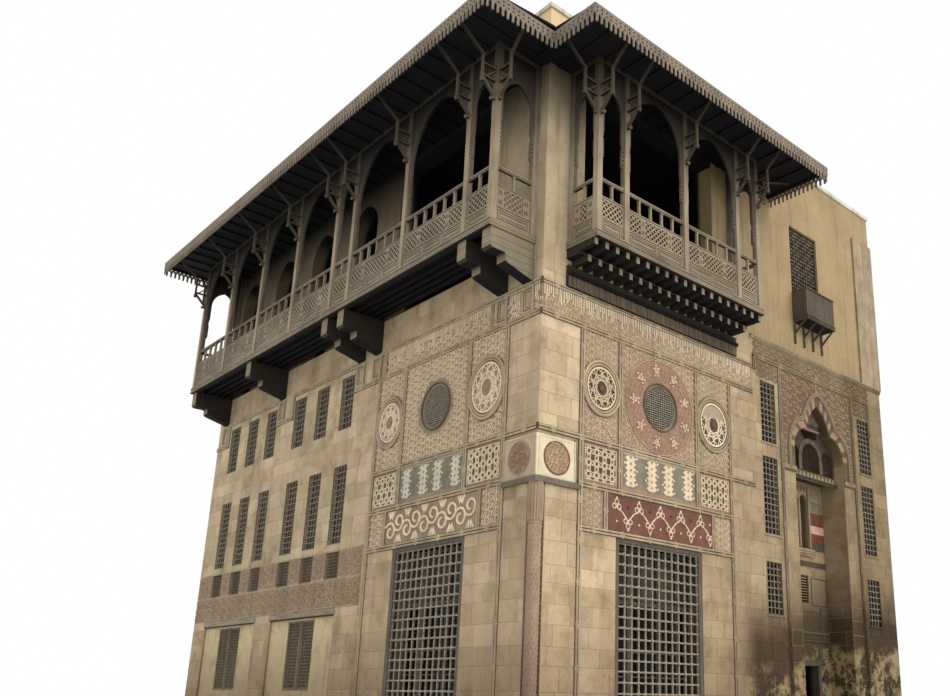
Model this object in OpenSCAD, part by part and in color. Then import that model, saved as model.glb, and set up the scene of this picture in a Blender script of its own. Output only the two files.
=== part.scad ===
// Corner building of cut stone with two timber mashrabiya galleries.
// Each front is drawn as seen from outside: x runs to the right, z up, and -y is out of the wall.
// The right front lies on y = 0 and the left front is turned to lie on x = 0.

/* [Building] */
// Length of the right front, along X
front_w = 13600; // [12800:100:16000]
// Length of the left front, along Y
side_d = 16200; // [16200:100:19000]
// Head of the stone lower walls, where the galleries start
lower_z = 10740; // [10640:10:10840]
// Height of the top storey's walls, from the galleries' underside to the coping
upper_h = 5860; // [5660:10:6860]
// Thickness of the lower walls
wall_t = 700; // [600:10:900]
// Thickness of the upper walls
upper_t = 500; // [400:10:560]
// Thickness of the floor slabs
floor_t = 250; // [180:10:320]
// Height of the white coping
coping_h = 110; // [80:10:200]
// Level of the floor over the ground storey
first_floor_z = 4000; // [3800:10:4150]
// Level of the floor over the middle storey
second_floor_z = 7600; // [7400:10:7900]

/* [Galleries] */
// Reach of the left gallery from the wall
left_out = 1200; // [1000:10:1400]
// Reach of the right gallery from the wall
right_out = 930; // [850:10:1100]
// Centre of the left gallery's corner post, from the corner of the building
left_start = 340; // [300:10:420]
// Centre of the right gallery's corner post, from the corner of the building
right_start = 710; // [600:10:800]
// Narrow bays of the left gallery, post centre to post centre
left_narrow = 900; // [700:10:1100]
// Wide bays of the left gallery near the corner
left_wide = 2430; // [2200:10:2500]
// Narrow bays of the right gallery
right_narrow = 825; // [700:5:950]
// Wide bays of the right gallery
right_wide = 1970; // [1700:10:2000]
// Side of the square posts
post = 140; // [110:5:170]
// Height of the edge beam under the posts
edge_h = 170; // [130:5:210]
// Height of the solid panels
panel_h = 330; // [260:10:380]
// Height of the lattice band
lattice_h = 470; // [380:10:520]
// Height of the row of balusters
baluster_h = 335; // [260:5:380]
// Height of each rail
rail_h = 60; // [45:5:80]
// Width of one lattice bar
lattice_bar = 24; // [16:1:32]
// Diagonal of one lattice cell
lattice_cell = 135; // [100:5:180]
// Drop from the canopies to the crown of the wide arches
wide_drop = 290; // [200:10:440]
// Drop from the canopies to the crown of the narrow arches
narrow_drop = 750; // [600:10:950]
// Thickness of the arch boards
arch_t = 60; // [30:5:80]
// Width of an arch board's legs at their springing
leg_w = 72; // [60:2:84]

/* [Canopies] */
// Reach of the left canopy from the wall
left_eave = 2280; // [2050:10:2500]
// Reach of the right canopy from the wall
right_eave = 1870; // [1700:10:2100]
// Overhang of the left canopy past its corner post
left_end_eave = 890; // [800:10:1000]
// Overhang of the left canopy past its far post
left_far_eave = 1000; // [800:10:1200]
// Overhang of the right canopy past its corner post
right_near_eave = 1110; // [1000:10:1200]
// Overhang of the right canopy past its far post
right_far_eave = 1880; // [1500:10:2100]
// Height of the wall head above the underside of the canopies
parapet_h = 1460; // [1380:10:1500]
// Height of the pierced board of the fascia
fascia_h = 250; // [200:10:320]
// Length of the pendant teeth
tooth_l = 200; // [140:10:260]
// Spacing of the teeth
tooth_pitch = 128; // [110:1:160]

/* [Windows] */
// Width of the big grilles
big_w = 2760; // [2500:10:2900]
// Head of the big grilles
big_head = 4800; // [4600:10:4850]
// Sill of the big grilles
big_sill = 900; // [600:10:1200]
// Spacing of the bars of the big grilles
big_pitch = 215; // [190:5:280]
// Bars of the big grilles
big_bar = 34; // [24:1:50]
// Width of the timber frames of the big windows
big_jamb = 110; // [80:5:150]
// Radius of the round windows
round_r = 520; // [420:10:560]
// Width of the tall windows of the side wing
wing_w = 620; // [520:10:700]
// Width of the windows beside the portal
side_w = 620; // [520:10:700]

/* [Portal] */
// Clear width of the portal recess
portal_w = 2370; // [2200:10:2500]
// Depth of the portal recess
portal_depth = 760; // [600:10:850]
// Level of the impost of the portal
portal_impost = 7450; // [7300:10:7600]
// Clear width of the doorway
door_w = 1300; // [1000:10:1400]
// Clear height of the doorway
door_h = 2480; // [2200:10:2600]

/* [Hidden] */

// Colours of the stone, plaster, timber and iron
stone = "#b9a484";
plaster = "#c9b07c";
white_stone = "#d8d2c4";
dark_stone = "#8f7f68";
timber = "#6f6358";
dark_timber = "#3e3732";
iron = "#4a4a48";

// Levels of the galleries
deck_z = lower_z + edge_h;
panel_top = deck_z + panel_h;
lattice_top = panel_top + lattice_h;
mid_rail_top = lattice_top + rail_h;
rail_top = mid_rail_top + baluster_h + rail_h;
head_z = lower_z + upper_h;
soffit_z = head_z - parapet_h;
plate_h = 120;
plate_z = soffit_z - plate_h;
deck_t = 60;
soffit_t = 40;
coping_lip = 40;
roof_board = 60;
roof_rise = 380;
eave_rise = 100;

// Post centres of each gallery, left to right as seen from outside
function sum_to(steps, n) = n == 0 ? 0 : steps[n - 1] + sum_to(steps, n - 1);
function run(steps, from) = [for (i = [0:len(steps)]) from + sum_to(steps, i)];
gallery_stop = 400;
left_far_wide = (side_d - gallery_stop - left_start - 2 * left_narrow - 2 * left_wide) / 4;
left_steps = [left_narrow, left_wide, left_wide, left_narrow,
    left_far_wide, left_far_wide, left_far_wide, left_far_wide];
left_run = run(left_steps, left_start);
left_x = [for (i = [len(left_run) - 1:-1:0]) -left_run[i]];
right_x = run([right_narrow, right_wide, right_wide, right_narrow], right_start);
left_first = left_x[0];
left_last = left_x[len(left_x) - 1];
right_first = right_x[0];
right_last = right_x[len(right_x) - 1];

// Ends of the canopies, in each front's own x
left_roof_a = left_first - left_far_eave;
left_roof_b = left_last + left_end_eave + post / 2;
right_roof_a = right_first - right_near_eave;
right_roof_b = right_last + right_far_eave;

// Carved fronts: the levels of the mouldings and the edges of the carved fields
band_levels = [big_head, big_head + 900, big_head + 1870, lower_z - 1620, lower_z - 930];
round_z = (band_levels[2] + band_levels[3]) / 2;
left_fields = [-6170, -4980, -2390, -1080];
right_fields = [1120, 2260, 4800, 6060];
left_mid = (left_fields[1] + left_fields[2]) / 2 + 80;
right_mid = (right_fields[1] + right_fields[2]) / 2 + 50;
moulding = 70;
moulding_out = 40;
mitre = 1;
round_pitch = 95;
round_bar = 20;
ring_w = 60;
roundel_gap = 30;
roundel_r = 510;
big_ring_r = 1130;
string_h = 120;
string_out = 60;
corner_end = 6300;
right_corner_end = 7050;
portal_x = 10060;
portal_side = 790;
portal_a = portal_x - portal_w / 2 - portal_side;
portal_b = portal_x + portal_w / 2 + portal_side;
portal_t = portal_depth + 500;
vault_in = 300;
niche_r = 420;
hood_r = 330;
hood_w = 110;
hood_out = 50;
portal_line = portal_w / 2 + 600;
portal_frame = [right_corner_end + 100, portal_b + 795];
side_near_gap = 30;
side_far_gap = 145;
side_cols = [portal_a - side_near_gap - side_w / 2, portal_b + side_far_gap + side_w / 2];
ledge_h = 110;
ledge_out = 60;
corner_slab_h = 860;
corner_slab_w = 1000;
corner_slab_t = 30;
column_r = 150;
column_notch = 240;
column_base = 500;
column_top = band_levels[1] - ledge_h;

// Corbels under the left gallery, each tied to a post
corbel_w = 300;
corbel_h = 470;
corbel_d = 860;
corbel_frame = 36;
corbel_at = [left_x[0] + 150, left_x[2] - 250, left_x[4] - 160,
    left_x[5] - 250, left_x[7] - 40, left_x[8] - 80];

// Brackets: the foot and the hanger's top below the canopies, and the hanger's reach
strut_foot = 1390;
strut_rise = 360;
strut_top = 470;
strut_out = 350;

// Fascia boards
fascia_t = 30;
fascia_top = soffit_z + eave_rise + roof_board;
fascia_hole = 42;
board_max = 2600;
board_gap = 4;

// The side wing: its windows, recesses and doors stand at shares of its length
wing_len = side_d - corner_end;
function at_wing(share) = -(corner_end + share * wing_len);
wing_cols = [for (share = [0.8636, 0.7323, 0.6010, 0.4212, 0.2869, 0.1505]) at_wing(share)];
wing_rows = [[first_floor_z + 350, first_floor_z + 980], [first_floor_z + 1210, second_floor_z - 410],
    [second_floor_z + 620, lower_z - 1120]];
side_rows = [[first_floor_z - 410, first_floor_z + 860], [first_floor_z + 1560, second_floor_z - 60],
    [second_floor_z + 330, lower_z - 1190]];
ground_window_w = 1400;
ground_windows = [for (share = [0.7374, 0.2929]) at_wing(share)];
ground_sill = first_floor_z - 2350;
ground_head = first_floor_z - 630;
bay_recess = [[at_wing(0.9121), at_wing(0.5667)], [at_wing(0.4657), at_wing(0.1172)]];
bay_recess_d = 60;
lintel_h = 150;
lintel_z = ground_head + 50;
// Shares at which the moulding over the wing's windows steps up and down
step_shares = [[0.110, 0.470], [0.564, 0.919]];
arch_cols = [for (share = [0.8687, 0.6212, 0.3788, 0.1414]) at_wing(share)];
arch_share = 134 / 990;
arch_w = wing_len * arch_share;
arch_sill = deck_z + 910;
arch_head = soffit_z - 490;
arch_rise = arch_w * 0.6;
arch_spring = arch_head - arch_rise;
shutter_t = 60;
shutter_in = 220;
loggia_left = 200 - left_run[3];
loggia_right = right_x[3] + 125;
// Faces of the corner pier along the left and the right front
pier_faces = [1900, 1120];
loggia_head = soffit_z - 140;
high_window = [portal_x - 940, portal_x + 430];
high_sill = lower_z + 1010;
high_head = soffit_z - 440;
box_out = 460;
box_h = 940;
box_sill = 80;
box_t = 50;
box_drop = 620;
quoin_w = 1050;
quoin_drop = 1000;
louvre_w = 640;
louvre_h = 750;
louvre_z = door_h + 1620;
twin_w = 330;
twin_h = 1500;
twin_drop = 350;

// A rectangle between two corners
module rect(x0, z0, x1, z1) {
    translate([x0, z0]) square([x1 - x0, z1 - z0]);
}

// A plate drawn in elevation, with its face out from the wall by out and t thick
module plate(t, out = 0) {
    translate([0, t - out, 0]) rotate([90, 0, 0]) linear_extrude(t) children();
}

// Turns a piece drawn for a front on to the left front
module on_left() {
    rotate([0, 0, -90]) children();
}

// A pointed arch of half width a that rises h over the level z
module pointed(x, z, a, h) {
    r = (a * a + h * h) / (2 * a);
    intersection() {
        translate([x + a - r, z]) circle(r, $fn = 72);
        translate([x + r - a, z]) circle(r, $fn = 72);
        rect(x - a, z, x + a, z + h + 1);
    }
}

// A doorway or window with a pointed head
module pointed_opening(x, w, sill, head, h) {
    rect(x - w / 2, sill, x + w / 2, head - h);
    pointed(x, head - h, w / 2, h);
}

// A disc drawn with straight sides, and a pointed head drawn the same way
module disc(x, z, r, sides = 40) {
    polygon([for (i = [0:sides - 1]) [x + r * cos(i * 360 / sides), z + r * sin(i * 360 / sides)]]);
}

module straight_pointed(x, z, a, h, sides = 12) {
    r = (a * a + h * h) / (2 * a);
    last = asin(h / r);
    side = [for (i = [0:sides]) [r * cos(i * last / sides) - r + a, z + r * sin(i * last / sides)]];
    polygon([for (p = side) [x + p[0], p[1]], for (i = [sides - 1:-1:0]) [x - side[i][0], side[i][1]]]);
}

// The three-lobed head of the portal, grown by m on every side
module trilobe(m) {
    a = portal_w / 2;
    lobe = a * 0.52;
    rect(portal_x - a - m, 0, portal_x + a + m, portal_impost + lobe);
    for (s = [-1, 1]) disc(portal_x + s * (a - lobe), portal_impost + lobe, lobe + m);
    rect(portal_x - a + lobe, portal_impost, portal_x + a - lobe, portal_impost + 2 * lobe + m);
    straight_pointed(portal_x, portal_impost + 1.6 * lobe, a * 0.5 + m, a * 0.85 + m * 1.3);
}

// A straight bar of width w in a 2-D drawing, from point p to point q
module bar(p, q, w) {
    d = q - p;
    translate(p) rotate(atan2(d[1], d[0])) translate([0, -w / 2]) square([norm(d), w]);
}

module window_row(cols, row, w) {
    for (x = cols) rect(x - w / 2, row[0], x + w / 2, row[1]);
}

module frame_2d(x0, z0, x1, z1, w) {
    difference() {
        rect(x0, z0, x1, z1);
        rect(x0 + w, z0 + w, x1 - w, z1 - w);
    }
}

// Floors and roof
module slab(z, t, y0 = wall_t) {
    translate([wall_t, y0, z - t]) cube([front_w - 2 * wall_t, side_d - wall_t - y0, t]);
}

// The block of masonry round the portal recess, which the floors stop at
module portal_block() {
    translate([portal_a, 0, 0]) cube([portal_b - portal_a, portal_t, lower_z + 1]);
}

module ground_floor() {
    color(stone) difference() {
        slab(floor_t, floor_t);
        translate([0, 0, -1]) portal_block();
    }
}

module wing_floors() {
    color(timber) for (z = [first_floor_z, second_floor_z]) slab(z, floor_t, corner_end);
}

module gallery_floor() {
    color(timber) difference() {
        slab(lower_z, floor_t);
        portal_block();
    }
}

module roof_slab() {
    color(plaster) translate([upper_t, upper_t, soffit_z + roof_rise])
        cube([front_w - 2 * upper_t, side_d - 2 * upper_t, floor_t]);
}

module coping() {
    color(white_stone) translate([0, 0, head_z]) difference() {
        translate([-coping_lip, -coping_lip, 0])
            cube([front_w + 2 * coping_lip, side_d + 2 * coping_lip, coping_h]);
        translate([upper_t, upper_t, -1]) cube([front_w - 2 * upper_t, side_d - 2 * upper_t, coping_h + 2]);
    }
}

// Lower walls
module corner_notch() {
    translate([-1, -1, column_base]) cube([column_notch + 1, column_notch + 1, column_top - column_base]);
}

module big_window(x) {
    rect(x - big_w / 2, big_sill, x + big_w / 2, big_head);
}

module left_corner_wall() {
    color(stone) on_left() plate(wall_t) difference() {
        rect(-corner_end, 0, -wall_t, band_levels[1]);
        big_window(left_mid);
    }
}

module left_corner_wall_top() {
    color(stone) on_left() plate(wall_t) difference() {
        rect(-corner_end, band_levels[1], -wall_t, lower_z);
        translate([left_mid, round_z]) circle(round_r, $fn = 64);
    }
}

module left_wing_wall() {
    color(stone) on_left() difference() {
        plate(wall_t) difference() {
            rect(-side_d + wall_t, 0, -corner_end, lower_z);
            for (row = wing_rows) window_row(wing_cols, row, wing_w);
            for (x = ground_windows)
                rect(x - ground_window_w / 2, ground_sill, x + ground_window_w / 2, ground_head);
        }
        for (r = bay_recess) plate(bay_recess_d + 1, 1) rect(r[0], -1, r[1], lintel_z + lintel_h);
    }
}

module right_corner_wall() {
    color(stone) difference() {
        plate(wall_t) difference() {
            rect(0, 0, right_corner_end, lower_z);
            big_window(right_mid);
            translate([right_mid, round_z]) circle(round_r, $fn = 64);
        }
        corner_notch();
    }
}

module portal_wall() {
    color(stone) difference() {
        plate(portal_t) difference() {
            rect(portal_a, 0, portal_b, lower_z);
            rect(portal_x - door_w / 2, -1, portal_x + door_w / 2, door_h);
            rect(portal_x - louvre_w / 2, louvre_z, portal_x + louvre_w / 2, louvre_z + louvre_h);
            for (s = [-1, 1]) pointed_opening(portal_x + s * twin_w * 0.75, twin_w,
                portal_impost - twin_drop - twin_h, portal_impost - twin_drop, twin_w * 0.6);
        }
        plate(portal_depth + 1, 1) trilobe(0);
    }
}

module right_end_wall() {
    color(stone) plate(wall_t) difference() {
        union() {
            rect(right_corner_end, 0, portal_a, lower_z);
            rect(portal_b, 0, front_w, lower_z);
        }
        for (row = side_rows) window_row(side_cols, row, side_w);
    }
}

back_cols = [2200, 4600, 9000, 11400];
module back_wall() {
    color(stone) translate([0, side_d - wall_t, 0]) plate(wall_t) difference() {
        rect(0, 0, front_w, lower_z);
        for (row = wing_rows) window_row(back_cols, row, wing_w);
    }
}

module far_side_wall() {
    color(stone) translate([front_w - wall_t, 0, 0]) on_left() plate(wall_t) difference() {
        rect(-side_d + wall_t, 0, -wall_t, lower_z);
        for (row = wing_rows) window_row(wing_cols, row, wing_w);
    }
}

// Upper walls
module corner_pier() {
    color(stone) translate([0, 0, lower_z]) linear_extrude(head_z - lower_z)
        polygon([[0, 0], [pier_faces[1], 0], [pier_faces[1], upper_t], [upper_t, upper_t],
            [upper_t, pier_faces[0]], [0, pier_faces[0]]]);
}

// The corner strip of cut stone at the far end of the right front
module end_quoin() {
    x0 = front_w - quoin_w;
    x1 = front_w + coping_lip;
    color(stone) translate([0, 0, lower_z]) linear_extrude(upper_h - quoin_drop)
        polygon([[x0, -string_out], [x1, -string_out], [x1, quoin_w],
            [front_w, quoin_w], [front_w, 0], [x0, 0]]);
}

module loggia_heads() {
    color(plaster) {
        on_left() plate(upper_t) rect(loggia_left, loggia_head, -pier_faces[0], head_z);
        plate(upper_t) rect(pier_faces[1], loggia_head, loggia_right, head_z);
    }
}

// The piers between the arches that open on to the left gallery, and the wall that the arches carry
module upper_left_piers() {
    edges = [-side_d + upper_t, for (x = arch_cols) each [x - arch_w / 2, x + arch_w / 2], loggia_left];
    color(plaster) on_left() plate(upper_t)
        for (i = [0:2:len(edges) - 2]) rect(edges[i], lower_z, edges[i + 1], arch_spring);
}

module upper_left_wall() {
    color(plaster) on_left() plate(upper_t) difference() {
        rect(-side_d + upper_t, arch_spring, loggia_left, head_z);
        for (x = arch_cols) pointed(x, arch_spring - 1, arch_w / 2, arch_rise + 1);
    }
}

module upper_right_wall() {
    color(plaster) plate(upper_t) difference() {
        rect(loggia_right, lower_z, front_w, head_z);
        rect(high_window[0], high_sill, high_window[1], high_head);
    }
}

module upper_back_wall() {
    color(plaster) translate([0, side_d - upper_t, 0]) plate(upper_t) difference() {
        rect(0, lower_z, front_w, head_z);
        for (x = back_cols) pointed_opening(x, arch_w, arch_sill, arch_head, arch_rise);
    }
}

module upper_far_side_wall() {
    color(plaster) translate([front_w - upper_t, 0, 0]) on_left() plate(upper_t) difference() {
        rect(-side_d + upper_t, lower_z, -upper_t, head_z);
        for (x = arch_cols) pointed_opening(x, arch_w, arch_sill, arch_head, arch_rise);
    }
}

module upper_shutters() {
    color(dark_timber) {
        translate([0, side_d - upper_t + shutter_in, 0]) plate(shutter_t)
            for (x = back_cols) pointed_opening(x, arch_w, arch_sill, arch_head, arch_rise);
        translate([front_w - upper_t + shutter_in, 0, 0]) on_left() plate(shutter_t)
            for (x = arch_cols) pointed_opening(x, arch_w, arch_sill, arch_head, arch_rise);
    }
}

// Stone dressings
module corner_column() {
    cap_h = 260;
    shaft_r = column_r * 0.85;
    shaft_h = column_top - column_base - 2 * cap_h;
    color(dark_stone) translate([column_notch - column_r, column_notch - column_r, column_base]) {
        cylinder(h = cap_h, r1 = column_r, r2 = shaft_r, $fn = 32);
        translate([0, 0, cap_h]) cylinder(h = shaft_h, r = shaft_r, $fn = 32);
        translate([0, 0, cap_h + shaft_h]) cylinder(h = cap_h, r1 = shaft_r, r2 = column_r, $fn = 32);
    }
}

// Mouldings that meet stop a mitre short of each other, so that each is a straight solid of its own
module upright(x, z0, z1) {
    rect(x, z0 + moulding + mitre, x + moulding, z1 - mitre);
}

module bands_2d(fields, a, b) {
    for (z = [band_levels[0], band_levels[1]]) rect(fields[0], z, fields[3] + moulding, z + moulding);
    for (z = [band_levels[2], band_levels[3], band_levels[4]]) rect(a, z, b, z + moulding);
    for (x = [fields[0], fields[3]]) upright(x, -moulding - mitre, band_levels[0]);
    for (x = fields, i = [0:2]) upright(x, band_levels[i], band_levels[i + 1]);
}

module ring(x, z, r, w) {
    translate([x, z]) difference() {
        circle(r, $fn = 64);
        circle(r - w, $fn = 64);
    }
}

// The raised rings: a roundel in each outer field, and one around the round window
module rings_2d(fields, mid) {
    ring((fields[0] + fields[1] + moulding) / 2, round_z, roundel_r, ring_w);
    ring((fields[2] + fields[3] + moulding) / 2, round_z, roundel_r, ring_w);
    ring(mid, round_z, round_r + roundel_gap + ring_w, ring_w);
}

// A band that wraps the corner of the building, reach long on each front
module corner_band(z, h, out, left_reach, right_reach) {
    translate([0, 0, z]) linear_extrude(h) polygon([[-out, -out], [right_reach, -out], [right_reach, 0],
        [0, 0], [0, left_reach], [-out, left_reach]]);
}

module corner_ledge() {
    color(dark_stone) corner_band(band_levels[1] - ledge_h, ledge_h, ledge_out,
        -left_fields[3] - moulding, right_fields[0]);
}

module corner_panels() {
    color(white_stone) corner_band(band_levels[1], corner_slab_h, corner_slab_t,
        corner_slab_w, corner_slab_w);
}

// The moulding over the side wing: it steps up over each group of windows
module wing_moulding_2d() {
    low = band_levels[3];
    high = band_levels[4];
    stops = [left_fields[0], for (s = step_shares) each [at_wing(s[0]), at_wing(s[1])], -side_d];
    for (i = [0, 2, 4])
        rect(stops[i + 1] + (i == 4 ? 0 : moulding + mitre), low, stops[i] - mitre, low + moulding);
    for (i = [1, 3]) rect(stops[i + 1], high, stops[i] + moulding, high + moulding);
    for (i = [1:4]) rect(stops[i], low, stops[i] + moulding, high - mitre);
}

// Frames on the wall under the corbels
module corbel_frames_2d() {
    z = band_levels[3] + moulding + corbel_frame;
    top = band_levels[4] - mitre;
    for (x = corbel_at) frame_2d(x - corbel_w / 2, z, x + corbel_w / 2, top, corbel_frame);
}

module left_mouldings() {
    color(stone) on_left() plate(moulding_out, moulding_out) {
        bands_2d(left_fields, left_fields[0], 0);
        rings_2d(left_fields, left_mid);
        wing_moulding_2d();
        corbel_frames_2d();
        for (x = [left_x[5] + 120, left_x[7] - 420]) upright(x, band_levels[3], band_levels[4]);
    }
}

// The moulding that frames the portal: a line down each side and a head over all
module portal_frame_2d() {
    top = lower_z - 540;
    for (s = [-1, 1]) upright(portal_x + s * portal_line - moulding / 2, -moulding - mitre, top - moulding);
    rect(portal_frame[0], top - moulding, portal_frame[1], top);
    upright(portal_frame[0], band_levels[4] - moulding, top - moulding);
    upright(portal_frame[1] - moulding, band_levels[3] - moulding, top - moulding);
}

module right_mouldings() {
    color(stone) plate(moulding_out, moulding_out) {
        bands_2d(right_fields, 0, right_corner_end);
        rings_2d(right_fields, right_mid);
        ring(right_mid, round_z, big_ring_r, ring_w);
        portal_frame_2d();
    }
    color(stone) plate(string_out, string_out) rect(right_corner_end, lower_z - string_h, front_w, lower_z);
}

module portal_hood() {
    color(white_stone) plate(hood_out, hood_out) difference() {
        trilobe(hood_r);
        trilobe(hood_r - hood_w);
        rect(portal_a, -1, portal_b, portal_impost);
    }
}

// A round-backed niche with a domed head, cut into the face at y
module niche(x, y, z, r, h) {
    translate([x, y, z]) {
        cylinder(h = h, r = r, $fn = 48);
        translate([0, 0, h]) sphere(r, $fn = 48);
    }
}

module portal_vault() {
    color(stone) difference() {
        translate([0, vault_in, 0]) plate(portal_depth - vault_in) intersection() {
            trilobe(0);
            rect(portal_a, portal_impost, portal_b, head_z);
        }
        niche(portal_x, vault_in, portal_impost + 120, niche_r, niche_r);
        niche(portal_x, vault_in, portal_impost + 1160, niche_r * 0.9, 200);
        for (s = [-1, 1])
            niche(portal_x + s * niche_r * 1.95, vault_in, portal_impost + 160, niche_r * 0.68, niche_r);
    }
}

// Grilles and frames
module grille_2d(x0, z0, x1, z1, pitch, w) {
    nx = round((x1 - x0) / pitch);
    nz = round((z1 - z0) / pitch);
    for (i = [0:nx]) rect(x0 + (x1 - x0 - w) * i / nx, z0, x0 + (x1 - x0 - w) * i / nx + w, z1);
    for (j = [0:nz]) rect(x0, z0 + (z1 - z0 - w) * j / nz, x1, z0 + (z1 - z0 - w) * j / nz + w);
}

module big_grille(x) {
    half = big_w / 2 - big_jamb;
    color(iron) translate([0, 50, 0]) plate(big_bar)
        grille_2d(x - half, big_sill + big_jamb, x + half, big_head - big_jamb, big_pitch, big_bar);
}

module big_window_frame(x) {
    translate([0, 10, 0]) plate(130) frame_2d(x - big_w / 2, big_sill, x + big_w / 2, big_head, big_jamb);
}

module big_window_frames() {
    color(dark_timber) {
        on_left() big_window_frame(left_mid);
        big_window_frame(right_mid);
    }
}

module left_big_grille() {
    on_left() big_grille(left_mid);
}

module right_big_grille() {
    big_grille(right_mid);
}

module round_grille(x) {
    color(iron) translate([0, 80, 0]) plate(30) intersection() {
        translate([x, round_z]) circle(round_r, $fn = 64);
        union() {
            translate([x, round_z]) grille_2d(-round_r, -round_r, round_r, round_r, round_pitch, round_bar);
            ring(x, round_z, round_r, 2 * round_bar);
        }
    }
}

module round_grilles() {
    on_left() round_grille(left_mid);
    round_grille(right_mid);
}

module frames(cols, row, w) {
    for (x = cols) translate([0, 90, 0]) plate(50) frame_2d(x - w / 2, row[0], x + w / 2, row[1], 40);
}

module window_frames() {
    color(dark_timber) {
        on_left() for (row = wing_rows) frames(wing_cols, row, wing_w);
        for (row = side_rows) frames(side_cols, row, side_w);
    }
}

module ground_window_frames() {
    color(dark_timber) on_left() {
        for (x = ground_windows) translate([0, 150, 0]) plate(60)
            frame_2d(x - ground_window_w / 2, ground_sill, x + ground_window_w / 2, ground_head, 60);
        for (r = bay_recess) plate(bay_recess_d + 20, 20) rect(r[0], lintel_z, r[1], lintel_z + lintel_h);
    }
}

module lattice_window() {
    color(dark_timber) translate([0, 60, 0]) plate(50) {
        grille_2d(high_window[0], high_sill, high_window[1], high_head, 150, 40);
    }
}

// A board from x0 to x1 with n sunk fields on both faces
module sunk_board(x0, z0, x1, z1, n, t, stile) {
    step = (x1 - x0 - stile) / n;
    translate([0, t / 2, 0]) {
        translate([0, -t / 2, 0]) plate(t) difference() {
            rect(x0, z0, x1, z1);
            for (i = [0:n - 1]) rect(x0 + stile + i * step, z0 + stile, x0 + (i + 1) * step, z1 - stile);
        }
        translate([0, -t / 4, 0]) plate(t / 2) rect(x0, z0, x1, z1);
    }
}

module box_balcony() {
    x0 = high_window[0];
    x1 = high_window[1];
    z0 = high_sill - box_sill;
    z1 = z0 + box_h;
    color(dark_timber) {
        translate([x0, -box_out, z0]) cube([x1 - x0, box_out, box_sill]);
        translate([0, -box_out, 0]) sunk_board(x0, z0 + box_sill, x1, z1, 3, box_t, box_t);
        for (x = [x0, x1 - box_t]) translate([x, -box_out + box_t, z0 + box_sill])
            cube([box_t, box_out - box_t, z1 - z0 - box_sill]);
        for (k = [0:3]) translate([x0 + (x1 - x0 - box_t) * k / 3, 0, 0]) rotate([90, 0, 90])
            linear_extrude(box_t) mirror([1, 0]) {
                rect(0, z0 - box_drop, box_t, z0);
                polygon([[0, z0 - box_drop * 0.6], [0, z0 - box_drop * 0.5], [box_out - 2 * box_t, z0],
                    [box_out - box_t, z0]]);
            }
    }
}

// Galleries
module posts(xs, out) {
    size = [post, post, plate_z - deck_z];
    for (x = xs) translate([x - post / 2, -out, deck_z]) cube(size);
    for (x = [xs[0], xs[len(xs) - 1]]) translate([x - post / 2, -post, deck_z]) cube(size);
}

module wall_plate(xs, out) {
    a = xs[0] - post / 2;
    b = xs[len(xs) - 1] + post / 2;
    translate([a, -out, plate_z]) cube([b - a, post, plate_h]);
    for (x = [a, b - post]) translate([x, -out + post, plate_z]) cube([post, out - post, plate_h]);
}

// How far an arch board's leg stands into its bay, at heights above the rail
leg_profile = [[-1, 0.7], [70, 0.7], [130, 0.35], [500, 0.35], [560, 0.9], [960, 0.9],
    [1020, 0.55], [1200, 1]];
notch_from = 600;
notch_step = 105;

// One arched board, for a clear bay from a to b
module arch_2d(a, b) {
    leg = min(leg_w, (b - a) / 9);
    wide = b - a > 1500;
    half = (b - a) / 2 - leg;
    rise = half * (wide ? 1.22 : 1.4);
    spring = soffit_z - (wide ? wide_drop : narrow_drop) - rise;
    mid = (a + b) / 2;
    foot = [for (p = leg_profile) [leg * p[1], rail_top + p[0]]];
    top = max(spring, rail_top + leg_profile[7][0]) + 1;
    difference() {
        rect(a, rail_top, b, plate_z);
        polygon([for (p = foot) [a + p[0], p[1]], [a + leg, top], [b - leg, top],
            for (i = [len(foot) - 1:-1:0]) [b - foot[i][0], foot[i][1]]]);
        pointed(mid, spring, half, rise);
        for (s = [-1, 1], k = [0:3])
            translate([mid + s * (half + leg * 0.55), rail_top + notch_from + notch_step * k])
                rotate(s * 25) square([leg * 0.66, 32], center = true);
    }
}

module bays_2d(xs) {
    for (i = [0:len(xs) - 2]) {
        $a = xs[i] + post / 2;
        $b = xs[i + 1] - post / 2;
        children();
    }
}

module return_2d(out) {
    $a = post;
    $b = out - post;
    children();
}

// Stands a drawing of one return in place: the drawing's x is the distance out of the wall
module stand_returns(xs, out, t) {
    for (x = [xs[0], xs[len(xs) - 1]]) translate([x + t / 2, 0, 0]) rotate([90, 0, -90])
        linear_extrude(t) return_2d(out) children();
}

module arches(xs, out) {
    translate([0, -out + (post - arch_t) / 2, 0]) plate(arch_t) bays_2d(xs) arch_2d($a, $b);
    stand_returns(xs, out, arch_t) arch_2d($a, $b);
}

// Width of one pane between balusters
pane_w = 380;
module rails_2d(a, b) {
    n = max(2, round((b - a) / pane_w));
    pitch = (b - a) / n;
    rect(a, rail_top - rail_h, b, rail_top);
    rect(a, lattice_top, b, mid_rail_top);
    for (i = [1:n - 1]) rect(a + i * pitch - 22, mid_rail_top, a + i * pitch + 22, rail_top - rail_h);
}

module rails(xs, out) {
    t = 60;
    translate([0, -out + (post - t) / 2, 0]) plate(t) bays_2d(xs) rails_2d($a, $b);
    stand_returns(xs, out, t) rails_2d($a, $b);
}

module lattice_2d(a, b) {
    w = b - a;
    border = 30;
    frame_2d(a, panel_top, b, lattice_top, border);
    intersection() {
        rect(a, panel_top, b, lattice_top);
        union() {
            for (i = [0:ceil((w + lattice_h) / lattice_cell)]) {
                x = a + i * lattice_cell;
                bar([x - lattice_h, panel_top], [x, lattice_top], lattice_bar);
                bar([x, panel_top], [x - lattice_h, lattice_top], lattice_bar);
            }
        }
    }
}

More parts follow.
